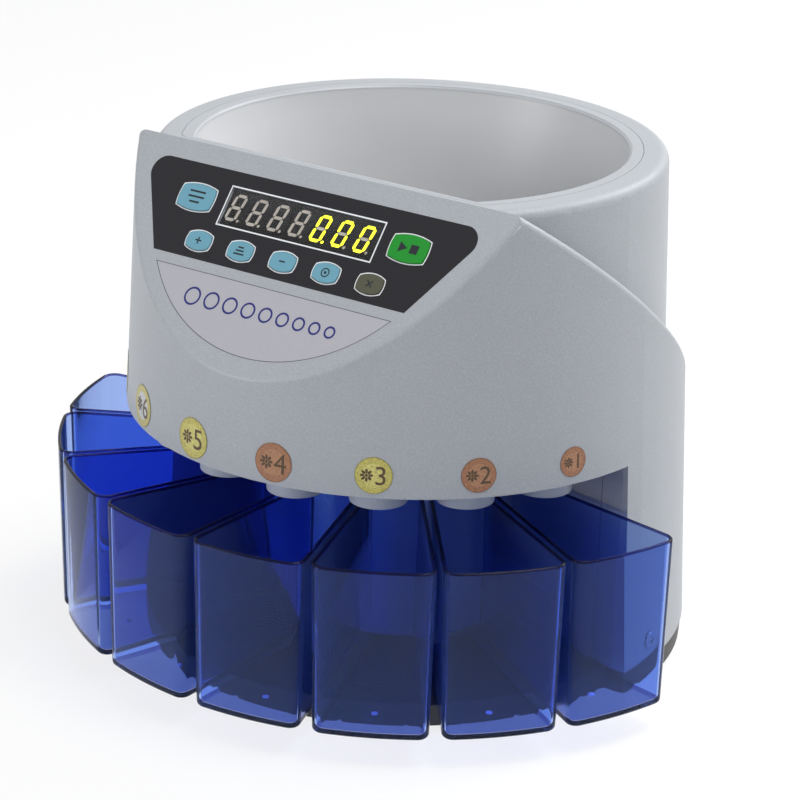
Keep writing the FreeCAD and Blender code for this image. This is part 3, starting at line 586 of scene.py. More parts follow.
class Mesher:
    """Meshes from rings of points given as whole arrays."""

    @staticmethod
    def lofted(name: str, rings: np.ndarray, caps: bool = True) -> Piece:
        """Closed body through rings of equal count, ends closed by fans to their middle points.

        Args:
            name: The piece's name.
            rings: Array (m, n, 3) of m closed rings from one end to the other.
            caps: True closes both ends; False joins the last ring to the first.

        Returns:
            The new object.
        """
        m, n = rings.shape[:2]
        points = rings.reshape(-1, 3)
        around = np.arange(n)
        following = (around + 1) % n
        row = np.arange(m - 1 if caps else m)[:, None] * n
        after = (row + n) % (m * n)
        walls = np.stack([row + around, row + following, after + following, after + around], axis=-1)
        faces = walls.reshape(-1, 4).tolist()
        if caps:
            points = np.concatenate([points, rings[[0, -1]].mean(axis=1)])
            last = (m - 1) * n
            faces += np.stack([following, around, np.full(n, m * n)], axis=-1).tolist()
            faces += np.stack([last + around, last + following, np.full(n, m * n + 1)], axis=-1).tolist()
        mesh = bpy.data.meshes.new(name)
        mesh.from_pydata(points.tolist(), [], faces)
        mesh.validate()
        return linked(name, mesh)

    @staticmethod
    def mapped(piece: Piece, places: np.ndarray) -> Piece:
        """Give a piece a UV map from one place for each vertex.

        Args:
            piece: The object.
            places: Array (vertices, 2).

        Returns:
            The same object.
        """
        mesh = piece.data
        index = np.zeros(len(mesh.loops), dtype=np.int32)
        mesh.loops.foreach_get("vertex_index", index)
        layer = mesh.uv_layers.new(name="place")
        layer.data.foreach_set("uv", places[index].astype(np.float32).ravel())
        return piece

    @staticmethod
    def smooth(piece: Piece, angle: float = 35.0) -> Piece:
        """Shade smooth, keeping edges sharper than an angle.

        Args:
            piece: The object.
            angle: The angle in degrees.

        Returns:
            The same object.
        """
        faces = piece.data.polygons
        faces.foreach_set("use_smooth", np.ones(len(faces), dtype=bool))
        piece.data.set_sharp_from_angle(angle=math.radians(angle))
        return piece

    @staticmethod
    def merged(name: str, pieces: Sequence[Piece]) -> Piece:
        """Join several new pieces into one object.

        Args:
            name: The joined piece's name.
            pieces: Objects at the origin, unturned.

        Returns:
            The joined object.
        """
        first = pieces[0]
        with bpy.context.temp_override(active_object=first, selected_editable_objects=list(pieces)):
            bpy.ops.object.join()
        first.name = first.data.name = name
        return first


def mesh_points(mesh: bpy.types.Mesh) -> np.ndarray:
    """Vertices of a mesh.

    Args:
        mesh: The mesh to read.

    Returns:
        Array (n, 3).
    """
    flat = np.zeros(len(mesh.vertices) * 3)
    mesh.vertices.foreach_get("co", flat)
    return flat.reshape(-1, 3)


def node_points(frame: dict, node: str) -> np.ndarray:
    """Vertices of a CAD node, as an array (n, 3)."""
    return mesh_points(frame["nodes"][node].data)


def joint_named(frame: dict, name: str) -> dict:
    """The frame's joint of a name."""
    return next(joint for joint in frame["joints"] if joint["name"] == name)


def full_turn(count: int) -> np.ndarray:
    """Angles of a whole turn in equal steps."""
    return np.linspace(0, 2 * np.pi, count, endpoint=False)


def facing(angle: np.ndarray | float) -> np.ndarray:
    """Unit vectors (..., 2) at angles from the front, positive to the right."""
    return np.stack([np.sin(angle), -np.cos(angle)], axis=-1)


@dataclass
class PanelFlat:
    """The slanted panel: x to the right, s down the slope from the film's upper edge, n outwards."""

    origin: np.ndarray
    down: np.ndarray
    out: np.ndarray

    @classmethod
    def from_frame(cls, frame: dict) -> PanelFlat:
        """Read the flat from a key's travel and the film's corners.

        Args:
            frame: The loaded frame.

        Returns:
            The panel's flat.
        """
        out = -np.array(joint_named(frame, "report_press")["axis"], float)
        down = np.array([0.0, -out[2], out[1]])
        points = node_points(frame, "panel_overlay")
        origin = down * (points @ down).min() + out * (points @ out).max()
        return cls(origin, down, out)

    def place(self, flat: np.ndarray, height: float) -> np.ndarray:
        """Points of the panel.

        Args:
            flat: Array (..., 2) of x and s.
            height: Height above the film's face.

        Returns:
            Array (..., 3) in the frame.
        """
        across = np.array([1.0, 0.0, 0.0])
        return self.origin + flat[..., :1] * across + flat[..., 1:] * self.down + height * self.out

    def extent(self, points: np.ndarray) -> np.ndarray:
        """Lowest and highest (x, s, n) of frame points.

        Args:
            points: Array (n, 3).

        Returns:
            Array (2, 3).
        """
        away = points - self.origin
        local = np.stack([away[:, 0], away @ self.down, away @ self.out], axis=-1)
        return np.stack([local.min(axis=0), local.max(axis=0)])


class Outline:
    """Closed flat outlines, anticlockwise seen from outside, as arrays (n, 2) with s running down."""

    @staticmethod
    def bar(x0: float, x1: float, s0: float, s1: float) -> np.ndarray:
        """Rectangle by its four corners."""
        return np.array([(x0, s1), (x1, s1), (x1, s0), (x0, s0)])

    @staticmethod
    def block(x: float, s: float, width: float, height: float, angle: float = 0.0) -> np.ndarray:
        """Rectangle about its middle.

        Args:
            x, s: Its middle.
            width, height: Its sides.
            angle: Its turn in degrees.

        Returns:
            The outline.
        """
        cosine, sine = math.cos(math.radians(angle)), math.sin(math.radians(angle))
        corners = Outline.bar(-width / 2, width / 2, -height / 2, height / 2)
        return corners @ np.array([[cosine, sine], [-sine, cosine]]) + np.array([x, s])

    @staticmethod
    def ring(x: float, s: float, radius: float, count: int = 40) -> np.ndarray:
        """Circle of a radius about a middle point."""
        turn = full_turn(count)
        return np.stack([x + radius * np.cos(turn), s - radius * np.sin(turn)], axis=-1)

    @staticmethod
    def segment(half: float, tip: float) -> np.ndarray:
        """Level bar of a display digit about its middle, pointed at both ends.

        Args:
            half: Half its length.
            tip: Half its width, which is also the length of each point.

        Returns:
            The outline.
        """
        flat = half - tip
        return np.array([(-half, 0), (-flat, tip), (flat, tip), (half, 0), (flat, -tip), (-flat, -tip)])

    @staticmethod
    def barrel(x: float, s: float, width: float, height: float, count: int = 24) -> np.ndarray:
        """Key outline: two strongly and two slightly bulged sides, each a parabola between two corners.

        Args:
            x, s: Its middle.
            width, height: Its whole size.
            count: Points on each side.

        Returns:
            The outline.
        """
        side_bulge, end_bulge = 0.6 * MM, 1.7 * MM
        along = np.linspace(-1, 1, count, endpoint=False)
        bulge = 1 - along ** 2
        half_x, half_s = width / 2 - side_bulge, height / 2 - end_bulge
        bottom = np.stack([along * half_x, half_s + end_bulge * bulge], axis=-1)
        right = np.stack([half_x + side_bulge * bulge, -along * half_s], axis=-1)
        return np.concatenate([bottom, right, -bottom, -right]) + np.array([x, s])


def unit(vectors: np.ndarray) -> np.ndarray:
    """Rows of an array (n, 2) brought to length one."""
    return vectors / np.linalg.norm(vectors, axis=1, keepdims=True)


def leftward(vectors: np.ndarray) -> np.ndarray:
    """Rows of an array (n, 2) turned by a right angle."""
    return np.stack([-vectors[:, 1], vectors[:, 0]], axis=-1)


@dataclass
class Printer:
    """Lays thin printed shapes on the panel's flat."""

    flat: PanelFlat
    film: float = 0.03 * MM
    sharpest: float = 0.4

    def solid(self, name: str, outline: np.ndarray, lift: float) -> Piece:
        """Filled shape: the outline at its foot and at its face, closed by fans.

        Args:
            name: The piece's name.
            outline: Array (n, 2), star-shaped about its middle.
            lift: Height of its foot above the film.

        Returns:
            The new object.
        """
        rings = np.stack([self.flat.place(outline, lift), self.flat.place(outline, lift + self.film)])
        return Mesher.lofted(name, rings)

    def line(self, name: str, outline: np.ndarray, width: float, lift: float = 0.0) -> Piece:
        """Closed line: a rectangular section carried round an outline, outside it.

        Args:
            name: The piece's name.
            outline: Array (n, 2) of the line's inner edge.
            width: The line's width.
            lift: Height of its foot above the film.

        Returns:
            The new object.
        """
        into = unit(outline - np.roll(outline, 1, axis=0))
        onto = unit(np.roll(outline, -1, axis=0) - outline)
        side = unit(leftward(into + onto))
        across = np.abs(np.sum(side * leftward(into), axis=1, keepdims=True))
        wide = outline + side * width / np.maximum(across, self.sharpest)
        top = lift + self.film
        corners = ((outline, lift), (wide, lift), (wide, top), (outline, top))
        rings = np.stack([self.flat.place(edge, height) for edge, height in corners])
        return Mesher.lofted(name, rings, caps=False)


@dataclass
class ControlPanel:
    """Printed frames, key symbols, the title field's motif and the display's digits."""

    frame: dict
    finishes: Finishes
    frame_line: float = 0.7 * MM
    key_line: float = 0.55 * MM
    key_gap: float = 0.25 * MM
    mark_step: float = 0.005 * MM
    target_radius: float = 1.75 * MM
    target_line: float = 0.6 * MM
    label_inset: float = 0.45 * MM
    label_line: float = 0.35 * MM
    label_points: int = 60
    ring_radii: tuple[float, float] = (3.7 * MM, 2.1 * MM)
    ring_count: int = 9
    ring_line: float = 1.0 * MM
    ring_gap: float = 4.4 * MM
    ring_place: float = 0.36
    digit_pitch: float = 12.7 * MM
    digit_height: float = 14.0 * MM
    digit_width: float = 7.2 * MM
    digit_shift: float = -0.7 * MM
    digit_lift: float = 0.12 * MM
    digit_slant: float = 9.0
    digit_count: int = 7
    lit_digits: int = 3
    segment_width: float = 1.55 * MM
    segment_gap: float = 0.22 * MM
    dot_radius: float = 0.75 * MM
    dot_gap: float = 1.25 * MM
    flat: PanelFlat = field(init=False)
    printer: Printer = field(init=False)

    # Each key's plain symbol as outlines in millimetres about the key's middle
    MARKS = {
        "report_key": [Outline.block(0, s, wide, 0.95) for s, wide in ((-2.7, 9.5), (0, 9.5), (2.7, 6.0))],
        "start_key": [np.array([(-5.2, 2.6), (-0.6, 0.0), (-5.2, -2.6)]), Outline.block(3.2, 0, 4.4, 4.4)],
        "plus_key": [Outline.block(0, 0, 3.6, 0.75), Outline.block(0, 0, 0.75, 3.6)],
        "batch_key": [Outline.block(0, s, wide, 0.8) for s, wide in ((-1.7, 3.4), (0, 4.8), (1.7, 6.2))],
        "minus_key": [Outline.block(0, 0, 3.4, 0.75)],
        "set_key": [Outline.ring(0, 0, 0.75, SMALL_RING)],
        "clear_key": [Outline.block(0, 0, 4.4, 0.75, angle) for angle in (45, -45)],
    }
    KEY_SLOTS = {"start_key": "key_green", "clear_key": "key_olive"}

    def __post_init__(self) -> None:
        """Read the panel's flat from the frame."""
        self.flat = PanelFlat.from_frame(self.frame)
        self.printer = Printer(self.flat)

    def extent(self, node: str) -> np.ndarray:
        """A node's extent on the panel."""
        return self.flat.extent(node_points(self.frame, node))

    def build(self) -> list[Piece]:
        """Make every printed piece of the panel.

        Returns:
            The new pieces, each riding on its body.
        """
        pieces = [self.window_frame()]
        pieces += [self.key_frame(key) for key in self.MARKS]
        pieces += [self.key_symbol(key) for key in self.MARKS]
        pieces += [self.label_edge(), self.label_motif()]
        return pieces + self.digits()

    def window_frame(self) -> Piece:
        """White line round the display window.

        Returns:
            The line, riding on the machine.
        """
        low, high = self.extent("display_window")
        outline = Outline.bar(low[0], high[0], low[1], high[1])
        piece = self.printer.line("window_frame", outline, self.frame_line)
        return self.finishes.fit(piece, Ink.WHITE.finish, "overlay_black")

    def key_frame(self, key: str) -> Piece:
        """White line round a key, on the film.

        Args:
            key: The key's node.

        Returns:
            The line, riding on the machine.
        """
        low, high = self.extent(key)
        size = high - low + 2 * self.key_gap
        outline = Outline.barrel(*(low + high)[:2] / 2, size[0], size[1])
        piece = self.printer.line(key + "_frame", outline, self.key_line)
        return self.finishes.fit(piece, Ink.WHITE.finish, "overlay_black")

    def key_symbol(self, key: str) -> Piece:
        """Plain symbol on a key: lines, start and stop, plus, stack, minus, target or cross.

        Args:
            key: The key's node.

        Returns:
            The symbol, riding on the key's body.
        """
        low, high = self.extent(key)
        middle, lift = (low + high)[:2] / 2, high[2]
        made = [self.printer.solid(f"{key}_mark_{i}", mark * MM + middle, lift + self.mark_step * i)
                for i, mark in enumerate(self.MARKS[key])]
        if key == "set_key":
            ring = Outline.ring(*middle, self.target_radius)
            made.append(self.printer.line("set_key_mark_ring", ring, self.target_line, lift))
        piece = Mesher.merged(key + "_symbol", made)
        slot = self.KEY_SLOTS.get(key, "key_blue")
        return self.finishes.fit(piece, Ink.DARK.finish, slot, key.replace("_key", "_button"))

    def label_edge(self) -> Piece:
        """Fine dark line inside the title field's edge: a straight upper side and one arc below.

        Returns:
            The line, riding on the machine.
        """
        low, high = self.extent("title_label")
        half, drop = high[0], high[1] - low[1]
        radius = (half ** 2 + drop ** 2) / (2 * drop)
        sweep = math.asin(half / radius) * (1 - self.label_inset / half)
        angle = np.linspace(-sweep, sweep, self.label_points)
        inner = radius - self.label_inset
        arc = np.stack([inner * np.sin(angle), high[1] - radius + inner * np.cos(angle)], axis=-1)
        arc[:, 1] = np.maximum(arc[:, 1], low[1] + self.label_inset)
        piece = self.printer.line("title_label_edge", arc, self.label_line)
        return self.finishes.fit(piece, Ink.LINE.finish, "label_pale")

    def label_motif(self) -> Piece:
        """Row of navy rings that shrink from left to right.

        Returns:
            The rings as one piece, riding on the machine.
        """
        low, high = self.extent("title_label")
        s = low[1] + self.ring_place * (high[1] - low[1])
        radii = np.linspace(*self.ring_radii, self.ring_count)
        steps = np.concatenate([[0], np.cumsum(radii[:-1] + radii[1:] + self.ring_gap)])
        rings = [self.printer.line(f"title_ring_{i}", Outline.ring(x, s, radius), self.ring_line)
                 for i, (x, radius) in enumerate(zip(steps - steps[-1] / 2, radii))]
        return self.finishes.fit(Mesher.merged("title_motif", rings), Ink.NAVY.finish, "label_pale")

    def segments(self) -> list[np.ndarray]:
        """The seven bars of a digit and its point, about the digit's middle, upright.

        Returns:
            Outlines of top, upper right, lower right, bottom, lower left, upper left, middle and point.
        """
        wide = (self.digit_width - self.segment_width) / 2
        high = (self.digit_height - self.segment_width) / 2
        tip = self.segment_width / 2
        level = Outline.segment(wide - self.segment_gap, tip)
        upright = -leftward(Outline.segment(high / 2 - self.segment_gap, tip))
        bars = [level + (0, -high), upright + (wide, -high / 2), upright + (wide, high / 2),
                level + (0, high), upright + (-wide, high / 2), upright + (-wide, -high / 2), level]
        point = Outline.ring(self.digit_width / 2 + self.dot_gap, self.digit_height / 2 - self.dot_radius,
                             self.dot_radius, SMALL_RING)
        return [*bars, point]

    def digits(self) -> list[Piece]:
        """Seven slanted digits with points: the first four dark, the last three lit as noughts.

        Returns:
            The lit and the dark segments, each joined to one piece.
        """
        low, high = self.extent("display_window")
        face = self.extent("left_display")[1][2] + self.digit_lift
        lean = np.array([[1.0, 0.0], [-math.tan(math.radians(self.digit_slant)), 1.0]])
        shapes = [shape @ lean for shape in self.segments()]
        middle_bar, point = 6, 7
        first_lit = self.digit_count - self.lit_digits
        lit, dark = [], []
        for place in range(self.digit_count):
            step = (place - (self.digit_count - 1) / 2) * self.digit_pitch + self.digit_shift
            middle = (low + high)[:2] / 2 + (step, 0.0)
            for i, shape in enumerate(shapes):
                segment = self.printer.solid(f"segment_{place}_{i}", shape + middle, face)
                shines = i < middle_bar or (i == point and place == first_lit)
                (lit if shines and place >= first_lit else dark).append(segment)
        return [self.finishes.fit(Mesher.merged("digits_lit", lit), "segment_lit", "display_dark"),
                self.finishes.fit(Mesher.merged("digits_dark", dark), "segment_dark", "display_dark")]


@dataclass
class CoinCup:
    """A clear wedge-shaped cup, drafted and rounded, drawn at the front and swung to its place.

    The ring's middle, the azimuth in degrees from the front, the reach of the rim's two ends and the heights
    of foot and rim are read from the frame.
    """

    finishes: Finishes
    number: int
    middle: np.ndarray
    azimuth: float
    inner: float
    outer: float
    floor: float
    rim: float
    wall: float = 2.0 * MM
    draft: float = 1.0
    corner: float = 7.0 * MM
    inner_corner: float = 6.0 * MM
    foot_round: float = 2.6 * MM
    pitch: float = 20.0
    gap: float = 2.6 * MM
    gate_inset: float = 25.0 * MM
    gate_radius: float = 1.7 * MM
    gate_height: float = 0.8 * MM
    gate_lift: float = 0.02 * MM
    gate_dome: float = 81.0
    gate_rings: int = 6
    gate_points: int = 24
    front_points: int = 31
    round_rings: int = 6
    rim_rings: int = 7

    def outline(self, count: int = 14) -> tuple[np.ndarray, np.ndarray]:
        """Rim outline and outward normals: an outer arc, two straight sides, a straight inner end.

        Args:
            count: Points on each corner arc.

        Returns:
            Two arrays (n, 2): points and unit normals, at the front with y negative.
        """
        half = math.radians(self.pitch / 2)
        side = self.gap / 2
        # Outer corner: a circle inside both the side line and the outer wall
        reach = self.outer - self.corner
        lean = half - math.asin((side + self.corner) / reach)
        square = math.pi / 2 + half
        corner_n = facing(np.linspace(lean, square, count))
        corner_p = reach * facing(lean) + self.corner * corner_n
        # Inner corner: a circle between the side line and the straight end
        end_y = self.inner + self.inner_corner
        end_x = end_y * math.tan(half) - (side + self.inner_corner) / math.cos(half)
        inner_n = facing(np.linspace(square, math.pi, count))
        inner_p = np.array([end_x, -end_y]) + self.inner_corner * inner_n
        front_n = facing(np.linspace(-lean, lean, self.front_points + 2)[1:-1])
        right_p, right_n = np.concatenate([corner_p, inner_p]), np.concatenate([corner_n, inner_n])
        mirror = np.array([-1.0, 1.0])
        points = np.concatenate([self.outer * front_n, right_p, (right_p * mirror)[::-1]])
        normals = np.concatenate([front_n, right_n, (right_n * mirror)[::-1]])
        return points, normals

    def levels(self) -> np.ndarray:
        """Wall section from the foot's round over the half-round rim to the inner floor's round.

        Returns:
            Array (rings, 2) of insets from the drafted outline and heights.
        """
        bend = np.linspace(0, math.pi / 2, self.round_rings)
        turn = np.linspace(0, math.pi, self.rim_rings)
        foot = self.foot_round * np.stack([1 - np.sin(bend), 1 - np.cos(bend)], axis=-1)
        tip = self.wall / 2 * np.stack([1 - np.cos(turn), np.sin(turn) - 1], axis=-1)
        return np.concatenate([foot + (0, self.floor), tip + (0, self.rim),
                               foot[::-1] + (self.wall, self.floor + self.wall)])

    def build(self) -> Piece:
        """Make the cup from rings that run from its foot over the rim to its inner floor.

        Returns:
            The cup, riding on its body.
        """
        points, normals = self.outline()
        inset, height = self.levels().T
        drafted = inset + (self.rim - height) * math.tan(math.radians(self.draft))
        flat = points - normals * drafted[:, None, None]
        angle = math.radians(self.azimuth)
        swing = np.array([[math.cos(angle), math.sin(angle)], [-math.sin(angle), math.cos(angle)]])
        ground = flat @ swing + self.middle[:2]
        upright = np.broadcast_to(height[:, None, None], (*ground.shape[:2], 1))
        rings = np.concatenate([ground, upright], axis=-1)
        piece = Mesher.smooth(Mesher.lofted(f"clear_cup_{self.number}", rings))
        self.finishes.fit(piece, "cup_blue", "cup_blue", f"cup_{self.number}")
        # Painted shade on the rim and the foot's round, and a painted shadow on the foot
        self.paint_edge_shade_and_foot_shadow(piece, len(points))
        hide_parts(f"coin_cup_{self.number}")
        return piece

    def paint_edge_shade_and_foot_shadow(self, piece: Piece, around: int) -> None:
        """Paint shade on the rim and the foot's round, a deep tint that stands for a wall seen edge-on, and
        a painted shadow on the foot.

        Args:
            piece: The cup.
            around: Points in each ring.
        """
        for name in ("cup_edge_painted_shade", "cup_foot_painted_shadow"):
            piece.data.materials.append(self.finishes.materials[name])
        row = np.arange(len(piece.data.polygons)) // around
        # The rim rows and the foot's round take painted shade, the deep tint of a wall seen edge-on
        rim = (row >= self.round_rings) & (row < self.round_rings + self.rim_rings - 1)
        # The foot's round but for its topmost row
        foot_round = row < self.round_rings - 2
        # The fan under the foot follows the walls' rows, and the fan on the inner floor is last
        # The fan under the foot takes a painted shadow of the floor beneath the cup
        foot = row == row.max() - 1
        edge_shade_slot, foot_shadow_slot = 1, 2
        finish = np.where(foot, foot_shadow_slot, (rim | foot_round) * edge_shade_slot)
        piece.data.polygons.foreach_set("material_index", finish.astype(np.int32))

    def gate(self) -> Piece:
        """Small domed mark of the moulding gate on the cup's floor: circles that shrink along an arc, in a
        lighter blue that paints the highlight on the mark.

        Returns:
            The mark, riding on the cup's body.
        """
        turn = full_turn(self.gate_points)
        rise = np.linspace(0, math.radians(self.gate_dome), self.gate_rings)[:, None]
        centre = self.middle[:2] + (self.outer - self.gate_inset) * facing(math.radians(self.azimuth))
        reach = self.gate_radius * np.cos(rise)
        height = self.floor + self.wall + self.gate_lift + self.gate_height * np.sin(rise)
        rings = np.stack([centre[0] + reach * np.cos(turn), centre[1] + reach * np.sin(turn),
                          height + 0 * turn], axis=-1)
        piece = Mesher.smooth(Mesher.lofted(f"cup_gate_painted_highlight_{self.number}", rings))
        return self.finishes.fit(piece, "cup_gate_painted_highlight", "cup_blue", f"cup_{self.number}")


@dataclass
class CupRing:
    """The eight cups, read from their slides and their nodes."""

    frame: dict
    finishes: Finishes
    count: int = 8

    def build(self) -> list[Piece]:
        """Make every cup and its gate mark in place.

        Returns:
            The new pieces.
        """
        middle = self.middle()
        pieces = []
        for number in range(1, self.count + 1):
            axis = np.array(joint_named(self.frame, f"cup_{number}_slide")["axis"], float)
            azimuth = math.degrees(math.atan2(axis[0], -axis[1]))
            points = node_points(self.frame, f"coin_cup_{number}")
            away, height = points - middle, points[:, 2]
            outer = np.linalg.norm(away[:, :2], axis=1).max()
            cup = CoinCup(self.finishes, number, middle, azimuth, (away @ axis).min(), outer,
                          height.min(), height.max())
            pieces += [cup.build(), cup.gate()]
        return pieces

    def middle(self) -> np.ndarray:
        """Where the first cup's mid line meets the machine's plane of symmetry.

        Returns:
            The ring's middle point on the ground.
        """
        axis = joint_named(self.frame, "cup_1_slide")["axis"]
        across = np.array([-axis[1], axis[0], 0.0])
        spread = node_points(self.frame, "coin_cup_1") @ across
        offset = (spread.min() + spread.max()) / 2
        return np.array([0.0, offset / across[1], 0.0])


@dataclass(frozen=True)
class Token:
    """A coin sticker: its number, the diameter of its solid in millimetres and its print."""

    number: str
    diameter: float
    finish: str


@dataclass
class TokenSeat:
    """A sticker's place on the skirt's cone, whose radius is a line over the height."""

    azimuth: float
    z: float
    radius: float
    slope: np.ndarray
    axis_y: float

    def wrap(self, flat: np.ndarray, lift: np.ndarray) -> np.ndarray:
        """Carry flat points onto the cone: x becomes an angle, y a height, lift a distance outwards.

        Args:
            flat: Array (..., 2).
            lift: Array (...) of heights above the cone.

        Returns:
            Array (..., 3) in the frame.
        """
        height = self.z + flat[..., 1]
        reach = np.polyval(self.slope, height) + lift
        angle = math.radians(self.azimuth) + flat[..., 0] / np.polyval(self.slope, self.z)
        return np.stack([reach * np.sin(angle), self.axis_y - reach * np.cos(angle), height], axis=-1)


@dataclass
class TokenStickers:
    """Round printed tokens on the skirt, each with a bead ring, a rosette and a plain number.

    Places and widths are shares of a sticker's radius, and the heights of beads and marks are in reliefs.
    """

    frame: dict
    finishes: Finishes
    pitch: float = 20.0
    print_share: float = 0.9
    relief: float = 0.10 * MM
    bead_count: int = 36
    bead_place: float = 0.885
    bead_width: float = 0.018
    bead_rise: float = 0.6
    disc_points: int = 144
    petals: int = 8
    number_place: float = 0.37
    number_size: float = 1.45
    mark_foot: float = 0.2
    petal_top: float = 1.0
    number_top: float = 1.1

    # The stickers from the left
    TOKENS = (
        Token("8", 25.75, "token_pale_ring"), Token("7", 24.25, "token_brass"),
        Token("6", 23.25, "token_pale_centre"), Token("5", 22.25, "token_brass"),
        Token("4", 21.25, "token_copper"), Token("3", 19.75, "token_brass"),
        Token("2", 18.75, "token_copper"), Token("1", 16.25, "token_copper"),
    )
    # Rings from the rim inwards: share of the radius, and height in reliefs
    PROFILE = np.array([(1.0, -0.3), (1.0, 0.6), (0.985, 1.0), (0.955, 1.0), (0.94, 0.55), (0.925, 0.5),
                        (0.905, 0.5), (0.885, 0.5), (0.865, 0.5), (0.845, 0.5), (0.70, 0.5), (0.67, 0.75),
                        (0.64, 0.5), (0.4, 0.5), (0.15, 0.5)])
    # Half length, half width and distance from the rosette's middle, as shares of the radius
    PETAL = (0.13, 0.07, 0.23)
    SEED = (0.08, 0.08, 0.0)

    def build(self) -> list[Piece]:
        """Make each sticker with its rosette and number.

        Returns:
            The new pieces.
        """
        pieces = []
        for i, (token, seat) in enumerate(zip(self.TOKENS, self.seats()), start=1):
            disc = self.finishes.fit(self.disc(i, seat), token.finish, "sticker_copper")
            marks = [self.number(i, token, seat), self.rosette(i, seat)]
            pieces.append(disc)
            pieces += [self.finishes.fit(mark, Ink.BROWN.finish, "sticker_copper") for mark in marks]
        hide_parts("coin_stickers")
        return pieces

    def seats(self) -> list[TokenSeat]:
        """Read each sticker's place from its solid; the print stands at the foot of the solid's round.

        Returns:
            The seats from the left.
        """
        points = node_points(self.frame, "coin_stickers")
        axis_y = joint_named(self.frame, "disc_spin")["pos_m"][1]
        x, forward = points[:, 0], axis_y - points[:, 1]
        azimuth, reach = np.degrees(np.arctan2(x, forward)), np.hypot(x, forward)
        seats = []
        for i, token in enumerate(self.TOKENS):
            middle = (i - (len(self.TOKENS) - 1) / 2) * self.pitch
            mine = np.abs(azimuth - middle) < self.pitch / 2
            z = points[mine, 2]
            radius = self.print_share * token.diameter * MM / 2
            slope = np.polyfit(z, reach[mine], 1)
            seats.append(TokenSeat(middle, z.min() + radius, radius, slope, axis_y))
        return seats

    def disc(self, index: int, seat: TokenSeat) -> Piece:
        """Sticker from rings that shrink to its middle, with a raised edge and a ring of beads.

        Args:
            index: Place counted from the left.
            seat: The sticker's place.

        Returns:
            The new object, with the share of the radius in its UV map.
        """
        turn = full_turn(self.disc_points)
        share, rise = self.PROFILE[:, :1], self.PROFILE[:, 1:]
        bead = np.exp(-((share - self.bead_place) / self.bead_width) ** 2)
        bead = bead * np.maximum(0, np.cos(turn * self.bead_count))
        height = (rise + self.bead_rise * bead) * self.relief
        flat = share[..., None] * seat.radius * np.stack([np.cos(turn), np.sin(turn)], axis=-1)
        piece = Mesher.smooth(Mesher.lofted(f"token_{index}", seat.wrap(flat, height)), angle=50.0)
        radial = np.stack([share + 0 * turn, 0 * share + turn / (2 * np.pi)], axis=-1).reshape(-1, 2)
        # Middle points of the fan at the back, which has the rim's colour, and of the fan on the face
        ends = np.array([(1.0, 0.5), (0.0, 0.0)])
        return Mesher.mapped(piece, np.concatenate([radial, ends]))

    def rosette(self, index: int, seat: TokenSeat) -> Piece:
        """Plain rosette beside the number: a seed and petals, each a low oval pad.

        Args:
            index: Place counted from the left.
            seat: The sticker's place.

        Returns:
            The pads as one piece.
        """
        turn = full_turn(SMALL_RING)
        lift = np.array([[self.mark_foot], [self.petal_top]]) * self.relief + 0 * turn
        pads = []
        for petal in range(self.petals + 1):
            long, wide, away = self.PETAL if petal < self.petals else self.SEED
            angle = 2 * np.pi * petal / self.petals
            u, v = long * np.cos(turn) + away, wide * np.sin(turn)
            x = u * math.cos(angle) - v * math.sin(angle) - self.number_place
            y = u * math.sin(angle) + v * math.cos(angle)
            flat = np.stack([np.stack([x, y], axis=-1)] * 2) * seat.radius
            pads.append(Mesher.lofted(f"petal_{index}_{petal}", seat.wrap(flat, lift)))
        return Mesher.merged(f"token_rosette_{index}", pads)

    def number(self, index: int, token: Token, seat: TokenSeat) -> Piece:
        """Plain raised number, made flat from text and then wrapped on the skirt.

        Args:
            index: Place counted from the left.
            token: The sticker.
            seat: Its place.

        Returns:
            The new object.
        """
        curve = bpy.data.curves.new("number", "FONT")
        curve.body = token.number
        curve.size = seat.radius * self.number_size
        curve.extrude = 0.5
        curve.resolution_u = 5
        text = linked("number", curve)
        bpy.context.view_layer.update()
        mesh = bpy.data.meshes.new_from_object(text)
        bpy.data.objects.remove(text)
        points = mesh_points(mesh)
        flat = points[:, :2] - (points[:, :2].min(axis=0) + points[:, :2].max(axis=0)) / 2
        # The text's depth only tells its face from its foot
        lift = np.where(points[:, 2] > 0, self.number_top, self.mark_foot) * self.relief
        placed = seat.wrap(flat + (self.number_place * seat.radius, 0.0), lift)
        mesh.vertices.foreach_set("co", placed.ravel())
        mesh.update()
        return linked(f"token_number_{index}", mesh)


@dataclass
class CarriedParts:
    """Finishes for the CAD pieces, most of which are shown as they are."""

    frame: dict
    finishes: Finishes

    NODES = {
        "housing_grey": ("outer_housing",),
        "bowl_grey": ("hopper_bowl",),
        "inner_grey": ("drum_wall", "chute_deck"),
        "base_black": ("base_pan",),
        "part_black": ("disc_nut", "driven_pulley", "capacitors", "key_switches", "power_inlet",
                       "switch_body", "switch_rocker", "coin_sensors"),
        "rubber": ("rubber_feet", "disc_mat", "drive_belt"),
        "disc_grey": ("coin_disc",),
        "board_green": ("power_board", "control_board"),
        "steel": ("spindle", "sorting_rail", "upper_bearing", "lower_bearing", "motor_shaft",
                  "housing_screws", "bearing_screws", "bracket_screws"),
        "aluminium": ("bearing_housing", "motor_pulley"),
        "zinc": ("drive_motor", "motor_bracket", "transformer"),
        "brass": ("inlet_pins",),
        "display_black": ("left_display", "right_display"),
        "window_clear": ("display_window",),
        "overlay_black": ("panel_overlay",),
        "label_pale": ("title_label",),
        "key_blue": ("report_key", "plus_key", "batch_key", "minus_key", "set_key"),
        "key_green": ("start_key",),
        "key_olive": ("clear_key",),
        "token_copper": ("coin_stickers",),
        "cup_blue": tuple(f"coin_cup_{number}" for number in range(1, CupRing.count + 1)),
    }

    def build(self) -> None:
        """Dress every CAD node."""
        for finish, nodes in self.NODES.items():
            for node in nodes:
                self.finishes.dress(self.frame["nodes"][node], finish)


